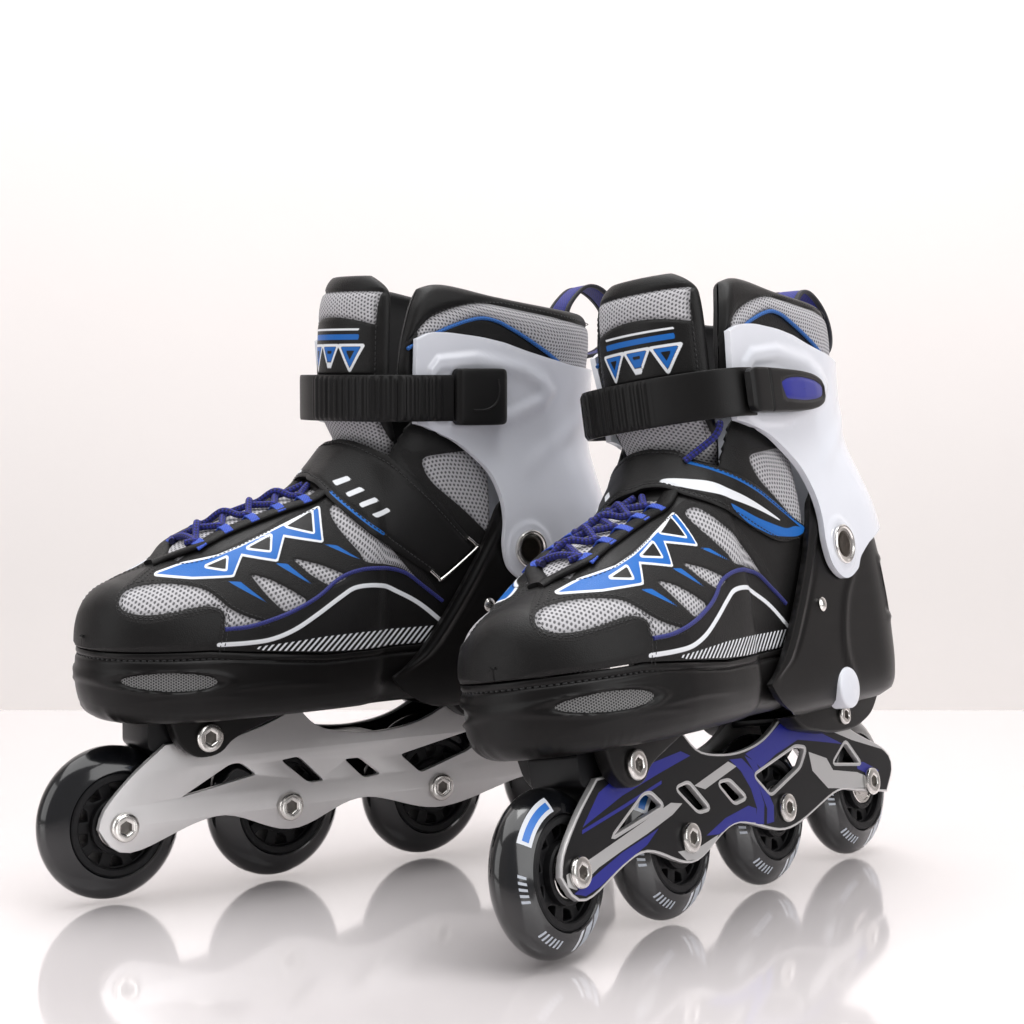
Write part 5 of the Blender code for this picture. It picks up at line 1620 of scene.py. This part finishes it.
def instepStrap():
    e = np.linspace(0, 1, strap["across"])
    ways = []
    for share in e:
        halves = []
        for sign in (-1, 1):
            low, high = (spline(k, 260) for k in strapEdges[sign])
            line = low * (1 - share) + high * share
            halves.append(onUpperAt(line[:, 0], line[:, 1], sign))
        ways.append(spline(np.concatenate([halves[0][::-4], halves[1][4::4]]), strap["steps"]))
    points = np.array(ways).transpose(1, 0, 2)
    flat = points.copy()
    for _ in range(3):
        points[1:-1] = (points[:-2] + points[1:-1] * 2 + points[2:]) / 4
    normals = gridNormals(points)
    h, v = layout(flat)
    outer = flat[..., 1] > centreY(flat[..., 0])
    zone = {"blackZone": np.full(h.shape, 5.0)}
    art = {k: (spline(o, 60, k != "line")) for k, o in strapArt.items()}
    white = insideDistance(h, v, art["crescent"])
    blue = np.maximum(insideDistance(h, v, art["wedge"]), 0.9 - lineDistance(h, v, art["line"]))
    d, n = np.array((-0.78, -0.62)), np.array((-0.62, 0.78))
    bars = np.full(h.shape, -9.0)       # plain slanted bars on the inner side
    for k in range(4):
        c = np.array((-106.0, 190.5)) + d * 7.5 * k
        bars = np.maximum(bars, insideDistance(h, v, [c - d * 2.9 - n * 3, c - d * 0.3 - n * 3, c + d * 3.3 + n * 4,
                                                      c + d * 0.7 + n * 4]))
    start = np.array((-105.0, 190.5)) - n * 6.2
    low = 0.7 - lineDistance(h, v, [start, start + d * 30])
    zone["whiteZone"] = np.where(outer, white, bars)
    zone["skyZone"] = np.where(outer, blue, low)
    edge = np.minimum(e, 1 - e)[None, :] * 24
    lift = 1.8 + 0.9 * (1 - np.exp(-edge / 2.0)) - 0.35 * np.exp(-((edge - 2.6) / 0.7) ** 2)
    # keep it above the lacing where it crosses the ridge
    lift = lift + 2.6 * np.exp(-((points[..., 1] - centreY(points[..., 0])) / 17.0) ** 4)
    raised = points + normals * lift[..., None]
    mesh = gridMesh("instepStrap", raised, [strapLeather], attributes=zone, outFrom=(-130, 0, 130))
    mesh = walled(mesh, strap["wall"], strap["edge"])
    pair("InstepStrap", mesh, "toe_part", ["instep_strap"])
    sewn = []
    for k in (int(strap["across"] * 0.11), int(strap["across"] * 0.89)):
        sewn.append(dashes("strapStitch", raised[3:-3, k], normals[3:-3, k], [thread], 2.5, 1.7, 0.55, 0.45))
    pair("StrapStitches", joined("strapStitches", *sewn), "toe_part")
    # wire ring the strap's inner end folds round
    a, b = raised[1, 1], raised[1, -2]
    down = raised[0, 22] - raised[6, 22]
    down /= np.linalg.norm(down)
    wire = [a - down * 5, a + down * 1.2, a + down * 3.2 + (b - a) * 0.06, b + down * 3.2 - (b - a) * 0.06,
            b + down * 1.2, b - down * 5]
    wire = [p + normals[1, 20] * 0.8 for p in wire]
    pair("StrapRing", tube("strapRing", spline(wire, 60), 0.85, [chrome], 10), "toe_part")


instepStrap()
print("instep strap done")


# ankle strap, catch and buckle

ankle = {"low": 221.2, "high": 243.8, "thick": 2.6, "ridge": 0.75, "pitch": 4.1}


def ankleStrap():
    side = [(-118.6, 0), (-120.3, 17), (-126, 32), (-137, 41.2), (-151, 42.4)]
    path = [(x, y) for x, y in reversed(side)] + [(x, -y) for x, y in side[1:]] + [(-166, -42.4)]
    path = spline(path, 420)
    tangent = unit(np.gradient(path, axis=0))
    out = np.stack([tangent[:, 1], -tangent[:, 0]], 1)
    if out[210] @ np.array((1, 0)) < 0:
        out = -out
    length = runLength(path)
    middle = (ankle["low"] + ankle["high"]) / 2
    half = (ankle["high"] - ankle["low"]) / 2
    ridged = step(-path[:, 1], -9, -4) * step(-length, -length[-1] + 4, -length[-1] + 10)
    tooth = np.clip(0.5 + 1.1 * np.cos(length / ankle["pitch"] * 2 * pi), 0, 1) * ankle["ridge"] * ridged
    rows = []
    for p, n, t in zip(path, out, tooth):
        row = []
        for k in range(28):
            a = 2 * pi * k / 28
            y, z = bulged(cos(a), 0.28), bulged(sin(a), 0.28)
            depth = y * ankle["thick"] / 2
            if cos(a) > 0:
                depth += t * step(-abs(z), -0.97, -0.8)
            row.append((p[0] + n[0] * depth, p[1] + n[1] * depth, middle + z * half))
        rows.append(row)
    mesh = gridMesh("ankleStrap", rows, [strapPlastic], ring=True, capFirst=True, capLast=True, angle=40)
    pair("AnkleStrap", mesh, "cuff_part", ["ankle_strap"])


def loftBlock(name, sections, materials, corner, dense, around, push=None):
    # sections (x, y0, y1, z0, z1) joined as a rounded block
    sections = spline(sections, dense)
    rows = []
    for x, y0, y1, z0, z1 in sections:
        cy, cz, hy, hz = (y0 + y1) / 2, (z0 + z1) / 2, (y1 - y0) / 2, (z1 - z0) / 2
        row = []
        for k in range(around):
            a = 2 * pi * (k + 0.5) / around
            y, z = cy + hy * bulged(cos(a), 1 / corner), cz + hz * bulged(sin(a), 1 / corner)
            if push is not None:
                y += push(x, z, cos(a))
            row.append((x, y, z))
        rows.append(row)
    return gridMesh(name, rows, materials, ring=True, capFirst=True, capLast=True, angle=50)


def buckle():
    body = [(-140.2, 45.3, 48.5, 225, 241), (-143, 44.6, 49.7, 222.6, 242.6), (-150, 44.1, 50.1, 222.1, 243),
            (-175, 43.7, 49.9, 222, 242), (-190, 43.2, 49.2, 222.3, 241.2), (-203, 42.6, 48.0, 223.4, 239.8),
            (-212, 42.1, 46.6, 225.6, 237.6), (-216.5, 42.1, 45.4, 228.4, 234.8)]
    oval = [(-163.5, 232.8), (-168.5, 237.0), (-182, 238.6), (-200, 237.6), (-212.5, 235.0), (-215.4, 231.8),
            (-211.5, 228.8), (-199, 227.0), (-182, 226.8), (-168.5, 228.4)]
    oval = spline(oval, 60, True)

    def push(x, z, c):
        # a recess for the coloured insert and a cross groove, on the outer face
        if c < 0.2:
            return 0.0
        d = float(insideDistance(np.array([x]), np.array([z]), oval)[0])
        return -0.9 * float(step(d, -0.9, 0.3)) - 0.6 * float(step(-abs(x + 156), -1.2, -0.3))
    lever = loftBlock("lever", body, [strapPlastic], 4.0, 150, 110, push)
    pair("Lever", lever, "lever", ["buckle_lever"])
    rows = []
    centre = oval.mean(0)
    for f in np.linspace(0.02, 1, 14):
        ring = centre + (oval - centre) * f * 0.97
        base = np.interp(-ring[:, 0], [150, 175, 190, 203, 212, 217], [50.1, 49.9, 49.2, 48.0, 46.6, 45.4])
        rows.append(np.column_stack([ring[:, 0], base - 0.1 - 0.9 * f ** 6, ring[:, 1]]))
    insert = gridMesh("insert", rows, [insertBlue], ring=True, outFrom=(-190, -60, 232))
    pair("LeverInsert", insert, "lever")


def catchPiece():
    body = [(-167.2, -44.4, -40.4, 221.4, 244.6), (-168.4, -46.2, -40.3, 219.6, 246.4),
            (-171, -47.0, -40.3, 219.1, 246.9), (-182, -47.3, -40.3, 219, 247), (-193, -47.0, -40.3, 219.1, 246.9),
            (-196.4, -46.0, -40.4, 219.8, 246.2), (-197.8, -44.6, -40.7, 221.2, 244.8)]
    block = loftBlock("catch", body, [strapPlastic], 4.5, 70, 64)
    arc = [(-175.5, 226.5), (-184, 227), (-189.5, 230.5), (-191, 236), (-190.5, 241.5)]
    line = tube("catchLine", [(x, -47.15, z) for x, z in spline(arc, 40)], 0.5, [strapPlastic], 8)
    pair("Catch", joined("catch", block, line), "cuff_part", ["catch_body"])


ankleStrap()
buckle()
catchPiece()
print("ankle strap and buckle done")


# padded collar with its pull loop

collar = {"front": [(0, -142), (0.3, -141.5), (0.6, -142.5), (0.85, -147), (1, -153)],
          "wide": [(0, 36.2), (0.3, 36.6), (0.6, 37.2), (0.85, 37.2), (1, 35)],
          "rear": [(0, -273.4), (0.3, -273.6), (0.6, -274.5), (0.85, -274.5), (1, -272)],
          "top": [(-275, 275), (-240, 277), (-199, 282.5), (-170, 287.5), (-158, 287), (-149, 282.5), (-143.5, 273),
                  (-141, 262)],
          "arch": [(-140, 256), (-163, 265), (-186, 272), (-209, 265), (-241, 248), (-275, 243)],
          "band": [(-140, 258.5), (-158, 272), (-186, 279), (-215, 275.5), (-251, 270), (-275, 268)],
          "piping": [(-144, 256.5), (-163, 265), (-186, 272), (-209, 265), (-241, 248)],
          "low": 238.5, "depth": 8.0, "centre": -225.0, "puff": 1.3, "bend": 0.93}


def collarPoint(t, share, inward):
    # t from 0 at the outer front edge, 1 at the heel's middle, 2 at the inner front edge
    side = 1 if t <= 1 else -1
    t = t if t <= 1 else 2 - t
    front, wide, rear = (float(along(share, collar[k])) for k in ("front", "wide", "rear"))
    straight, curved = front - collar["centre"], 82.0
    q = t * (straight + curved)
    wideFront = wide - 1
    if q < straight:
        f = q / straight
        x, y = front - q, wideFront + (wide - wideFront) * f
        nx, ny = 0.0, 1.0
    else:
        a = (q - straight) / curved * pi / 2
        x = collar["centre"] - (collar["centre"] - rear) * sin(a)
        y = wide * cos(a)
        nx, ny = -sin(a) / (collar["centre"] - rear), cos(a) / wide
        size = hypot(nx, ny)
        nx, ny = nx / size, ny / size
    top = float(along(x, collar["top"]))
    z = collar["low"] + share * (top - collar["low"])
    return x - nx * inward, side * (y - ny * inward), z, top


def collarPiece():
    depth, bend = collar["depth"], collar["bend"]
    section = [(share, 0.0) for share in np.linspace(0, bend, 40)]
    section += [(bend + (1 - bend) * sin(a), depth / 2 - depth / 2 * cos(a))
                for a in np.linspace(0.15, pi - 0.15, 14)]
    section += [(share, depth) for share in np.linspace(bend, 0, 26)]
    rows, mesh = [], []
    for t in np.linspace(0, 2, 280):
        row = []
        edge = min(t, 2 - t) * 165
        pinch = (max(0.0, 1 - ((4.0 - min(edge, 4.0)) / 4.0) ** 2)) ** 0.5
        for share, inward in section:
            d = depth / 2 + (inward - depth / 2) * (0.12 + 0.88 * pinch)
            x, y, z, top = collarPoint(t, share, d)
            arch, high = float(along(x, collar["arch"])), float(along(x, collar["band"]))
            field = min(z - arch, high - z)
            if inward < depth / 2:      # outer face: puffed panels, drawn in at the seams
                swell = collar["puff"] * (1 - np.exp(-max(field, 0) / 4.0))
                swell += 0.8 * step(np.array(z - high), 1, 4) * step(np.array(-edge), -200, -3)
                swell = float(swell) * float(step(np.array(edge), 0, 8))
                if z >= 250:
                    swell -= 0.7 * float(np.exp(-((z - high) / 0.7) ** 2) + np.exp(-((z - arch) / 0.8) ** 2))
                x, y, z, _ = collarPoint(t, share, d - swell)
                z += 0.35 * swell if share > 0.9 else 0
            elif inward > depth / 2:
                swell = 1.2 * sin(min(share / bend, 1) * pi) + 0.5 * sin(t * 23) * share
                x, y, z, _ = collarPoint(t, share, d - swell * 0.4)
            row.append((x, y, z))
            mesh.append(min(field, edge - 7.5) if inward < 0.5 else -5)
        rows.append(row)
    mesh = np.array(mesh, float)
    zones = {"meshZone": mesh, "blackZone": -mesh}
    zones.update({label: np.full(len(mesh), -5.0) for label in ("whiteZone", "skyZone", "inkZone")})
    pad = gridMesh("collar", rows, [softCloth, blackCloth], ring=True, attributes=zones)
    lined = [1 if inward > depth * 0.7 else 0 for _, inward in section]
    pad.polygons.foreach_set("material_index", lined * (len(rows) - 1))
    for ob in pair("Collar", pad, "cuff_part", ["collar"]):
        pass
    cords, seams = [], []
    for sign in (1, -1):
        path = []
        for x, z in spline(collar["piping"], 70):
            best = min(np.linspace(0.0, 1, 160), key=lambda t: abs(collarPoint(t, 0.5, 0)[0] - x))
            share = (z - collar["low"]) / (float(along(x, collar["top"])) - collar["low"])
            px, py, pz, _ = collarPoint(best, share, -0.35)
            path.append((px, py * sign, pz))
        cords.append(tube("archCord", spline(path[::6], 80), 0.95, [skyWeb], 8))
        path, normals = [], []
        for t in np.linspace(0.07, 0.98, 120):
            x, y, z, top = collarPoint(t, 0.5, 0)
            high = min(float(along(x, collar["band"])) + 1.6, top - 2)
            share = (high - collar["low"]) / (top - collar["low"])
            a, b = collarPoint(t, share, -0.9), collarPoint(t, share, -2.0)
            path.append((a[0], a[1] * sign, a[2]))
            normals.append((b[0] - a[0], (b[1] - a[1]) * sign, 0))
        seams.append(dashes("collarSeam", path, unit(np.array(normals)), [thread], 2.4, 1.6, 0.5, 0.4))
    pair("CollarPiping", joined("collarPiping", *cords), "cuff_part")
    pair("CollarSeams", joined("collarSeams", *seams), "cuff_part")


def pullLoop():
    path = spline([(-262, 270), (-266, 280), (-275, 288.5), (-283, 289.5), (-291, 285.5), (-298, 278), (-301, 269),
                   (-299.5, 261.5), (-294, 257), (-286, 254.4), (-277, 253.4), (-270.5, 252.4)], 90)
    tangent = unit(np.gradient(path, axis=0))
    normal = np.stack([-tangent[:, 1], tangent[:, 0]], 1)
    made = []
    for name, y0, y1, half, finish in (("middle", -6.4, 6.4, 0.85, royalWeb), ("edgeA", -9.0, -6.2, 0.95, blackWeb),
                                       ("edgeB", 6.2, 9.0, 0.95, blackWeb)):
        rows = []
        for i, (p, n) in enumerate(zip(path, normal)):
            twist = 0.9 * sin(i / 89 * pi * 2.2)
            row = []
            for k in range(14):
                a = 2 * pi * k / 14
                y = (y0 + y1) / 2 + (y1 - y0) / 2 * bulged(cos(a), 0.35)
                lift = half * bulged(sin(a), 0.6) + twist * y / 9
                row.append((p[0] + n[0] * lift, y, p[1] + n[1] * lift))
            rows.append(row)
        made.append(gridMesh(name, rows, [finish], ring=True, capFirst=True, capLast=True, angle=60))
    pair("PullLoop", joined("pullLoop", *made), "cuff_part")


collarPiece()
pullLoop()
print("collar done")


# padded tongue

# the line runs up the tongue's front as (x, z, half width)
tongue = {"line": [(-139, 196, 20), (-131, 213, 25), (-123.5, 229, 28), (-122.5, 250, 29), (-124, 275, 28.5),
                   (-129, 292, 25)],
          "thick": 8.0, "bow": 8.5, "bowHalf": 26.0,
          "patchLow": 243.5, "patchHigh": 271.5, "rim": 283.2, "motif": 258, "bar": 262.0, "hairline": 265.6}


def tonguePiece():
    line = spline(tongue["line"], 130)
    line[:, 2] *= 1 - 0.34 * np.clip((line[:, 1] - 281) / 11, 0, 1) ** 2.4
    turn = np.concatenate([[0], np.geomspace(1e-4, pi / 2, 300)])
    turn = np.concatenate([turn, pi - turn[:-1][::-1]])
    turn = np.concatenate([turn, turn[1:-1] + pi])
    c, s = np.cos(turn), np.sin(turn)
    run = runLength(np.stack([28 * np.sign(c) * np.abs(c) ** 0.5, 4 * np.sign(s) * np.abs(s) ** 0.6], 1))
    spots = np.interp(np.linspace(0, run[-1], 151)[:-1], run, turn)
    tangent = unit(np.gradient(line[:, :2], axis=0))
    rows = []
    marks = {k: [] for k in ("meshZone", "blackZone", "whiteZone", "skyZone", "inkZone")}
    # motif of the patch in (y, z): three white-edged wedges under a blue bar
    high = tongue["motif"]
    wedges = [[(middle - 6.5, high), (middle + 6.5, high), (middle, high - 12)] for middle in (-14.5, 0, 14.5)]
    for (x, z, w), (tx, tz) in zip(line, tangent):
        row = []
        thin = 0.25 + 0.75 * (1 - np.clip((z - 286) / 6, 0, 1) ** 2) ** 0.5 if z > 286 else 1.0
        rim = np.exp(-((z - tongue["rim"]) / 0.8) ** 2)
        for a in spots:
            y = w * bulged(cos(a), 0.5)
            deep = tongue["thick"] / 2 * bulged(sin(a), 0.6) * thin
            front = sin(a) > 0
            arch = tongue["patchHigh"] - 3.5 * (y / 25) ** 2
            patch = min(z - tongue["patchLow"], arch - z, 25.5 - abs(y))
            lining = max(min(z - arch, 283.6 - z, 25.5 - abs(y)), min(tongue["patchLow"] - z, 24.5 - abs(y)))
            if front:
                seam = np.exp(-(min(abs(lining), 9) / 0.8) ** 2) if abs(y) < 26 else 0
                deep += 0.8 * (1 - np.exp(-max(lining, 0) / 3.0)) - 0.6 * seam - 0.6 * rim
                deep += 0.5 * float(step(np.array(patch), -0.3, 0.5))
            px = x - tongue["bow"] * (y / tongue["bowHalf"]) ** 2 - tongue["thick"] / 2 + tz * deep
            row.append((px, y, z - tx * deep))
            inside = float(insideAny(np.array(y), np.array(z - tx * deep), wedges))
            bar = min(1.3 - abs(z - tongue["bar"]), 19 - abs(y))
            hairline = min(0.5 - abs(z - tongue["hairline"]), 19 - abs(y))
            marks["meshZone"].append(lining if front else -5)
            marks["blackZone"].append(-lining if front else 5)
            marks["whiteZone"].append(max(min(inside + 0.9, -inside + 0.4), hairline) if front else -5)
            marks["skyZone"].append(max(bar, inside - 0.6) if front else -5)
            marks["inkZone"].append(inside - 2.4 if front else -5)
        rows.append(row)
    mesh = gridMesh("tongue", rows, [softCloth], ring=True, capFirst=True, capLast=True, attributes=marks)
    bend = ((-136, 0, 205), (-122, 0, 262))
    for ob in pair("Tongue", mesh, "skate", ["tongue"], bend=bend):
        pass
    edge = []
    for sign in (1, -1):
        path = []
        for z in np.linspace(203, 279, 70):
            x = float(np.interp(z, line[:, 1], line[:, 0]))
            y = (float(np.interp(z, line[:, 1], line[:, 2])) - 2.6) * sign
            path.append((x - tongue["bow"] * (y / tongue["bowHalf"]) ** 2 - 0.55, y, z))
        edge.append(dashes("tongueSeam", path, [(1, 0, 0)] * len(path), [thread], 2.6, 1.7, 0.5, 0.45))
    pair("TongueSeams", joined("tongueSeams", *edge), "skate", bend=bend)


def footbedPiece():
    plan = [(-2, -5), (-9, 12), (-26, 26), (-60, 34), (-100, 32), (-140, 27), (-180, 26), (-220, 28), (-250, 25),
            (-269, 0), (-250, -25), (-220, -28), (-180, -25), (-140, -26), (-100, -31), (-60, -34), (-26, -30),
            (-9, -21)]
    plan = spline(plan, 140, True)
    middle = plan.mean(0)
    rows = []
    levels = [(0.02, 91.1)] + [(f, 91.2 + 0.2 * sin(f * 9)) for f in np.linspace(0.15, 0.93, 14)]
    levels += [(0.97, 91.4), (0.99, 91.0), (1.0, 90.2), (0.99, 89.2), (0.97, 88.9)]
    for f, z in levels:
        p = middle + (plan - middle) * f
        rows.append(np.column_stack([p, np.full(len(p), z)]))
    pair("Footbed", gridMesh("footbed", rows, [blackCloth], ring=True, capLast=True, outFrom=(-130, 0, 60)),
         "skate", ["footbed"])


tonguePiece()
footbedPiece()
print("tongue and footbed done")


# floor, light and camera

setting = {"floor": (0.74, 0.70, 0.705, 1), "wall": (0.90, 0.86, 0.845, 1), "gloss": 0.07, "depth": 1.69,
           "key": 32.0, "fill": 9.0, "rim": 13.0, "wallLight": 36.0, "air": (0.93, 0.91, 0.92, 1), "airLight": 0.34}
camera = {"from": (633.5, 887.4, 245.0), "turn": (-0.7127, -0.7015), "tilt": 3.46, "lens": 81.84}


def studio():
    low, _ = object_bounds()
    front = skates["right"].translation
    ahead = Vector((camera["turn"][0], camera["turn"][1], 0)).normalized()
    across = Vector((-ahead.y, ahead.x, 0))
    eye = front + Vector(camera["from"]) * mm
    eye.z = camera["from"][2] * mm
    floorZ = low.z - 0.0001

    def board(name, start, end, half, finish):
        # a rectangle from one edge's middle to the other's
        mesh = bpy.data.meshes.new(name)
        points = (start - across * half, start + across * half, end + across * half, end - across * half)
        mesh.from_pydata([tuple(p) for p in points], [], [(0, 1, 2, 3)])
        mesh.materials.append(finish)
        ob = bpy.data.objects.new(name, mesh)
        bpy.context.collection.objects.link(ob)
        ob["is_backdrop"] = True
    gloss, tree, shader = newMaterial("floorBoard", setting["floor"], setting["gloss"])
    at = place(tree)
    smudge = calc(tree, "MULTIPLY", noise(tree, at, 9.0, 4.0), 0.06)
    feed(tree, shader["Roughness"], calc(tree, "ADD", setting["gloss"], smudge))
    shader["Coat Weight"].default_value = 0.6
    shader["Coat Roughness"].default_value = 0.06
    feed(tree, shader["Base Color"],
         mixed(tree, noise(tree, at, 3.0, 2.0), setting["floor"], shaded(setting["floor"], 0.985)))
    matt, tree, shader = newMaterial("backdrop", setting["wall"], 0.9)
    feed(tree, shader["Base Color"],
         mixed(tree, noise(tree, place(tree), 2.0, 2.0), setting["wall"], shaded(setting["wall"], 0.97)))
    foot = Vector((eye.x, eye.y, floorZ))
    far = foot + ahead * setting["depth"]
    board("floor", foot - ahead * 3, far, 4, gloss)
    back = far + ahead * 0.5 - Vector((0, 0, 0.4))
    board("backdrop", back, back + Vector((0, 0, 5)), 6, matt)
    under = foot - Vector((0, 0, 0.3))
    board("underfloor", under - ahead * 6, under + ahead * 6, 6, matt)
    centre = front + Vector((0, 0, 0.15))

    def lamp(name, away, power, size, target=centre):
        light = bpy.data.lights.new(name, "AREA")
        light.energy = power
        light.shape = "RECTANGLE"
        light.size, light.size_y = size
        ob = bpy.data.objects.new(name, light)
        bpy.context.collection.objects.link(ob)
        ob.location = centre + away
        ob.rotation_mode = "QUATERNION"
        ob.rotation_quaternion = (ob.location - target).to_track_quat("Z", "Y")
        ob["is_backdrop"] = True
    lamp("top", -ahead * 0.15 + Vector((0, 0, 1.7)), setting["key"], (2.4, 1.8))
    lamp("left", -ahead * 0.8 + across * 1.5 + Vector((0, 0, 0.6)), setting["fill"], (1.2, 1.4))
    lamp("right", -ahead * 0.9 - across * 1.5 + Vector((0, 0, 0.7)), setting["rim"], (1.2, 1.4))
    lamp("wall", ahead + Vector((0, 0, 1.9)), setting["wallLight"], (3.0, 0.8), back + Vector((0, 0, 0.9)))
    world = bpy.data.worlds.new("studio")
    world.use_nodes = True
    world.node_tree.nodes["Background"].inputs[0].default_value = setting["air"]
    world.node_tree.nodes["Background"].inputs[1].default_value = setting["airLight"]
    bpy.context.scene.world = world
    lens = bpy.data.cameras.new("camera")
    lens.lens, lens.sensor_width, lens.sensor_fit = camera["lens"], 36.0, "HORIZONTAL"
    lens.clip_start, lens.clip_end = 0.05, 30
    eyeObject = bpy.data.objects.new("camera", lens)
    bpy.context.collection.objects.link(eyeObject)
    eyeObject.location = eye
    look = ahead * cos(radians(camera["tilt"])) - Vector((0, 0, sin(radians(camera["tilt"]))))
    eyeObject.rotation_mode = "QUATERNION"
    eyeObject.rotation_quaternion = look.to_track_quat("-Z", "Y")
    bpy.context.scene.camera = eyeObject
    bpy.context.scene.view_settings.view_transform = "Standard"


studio()
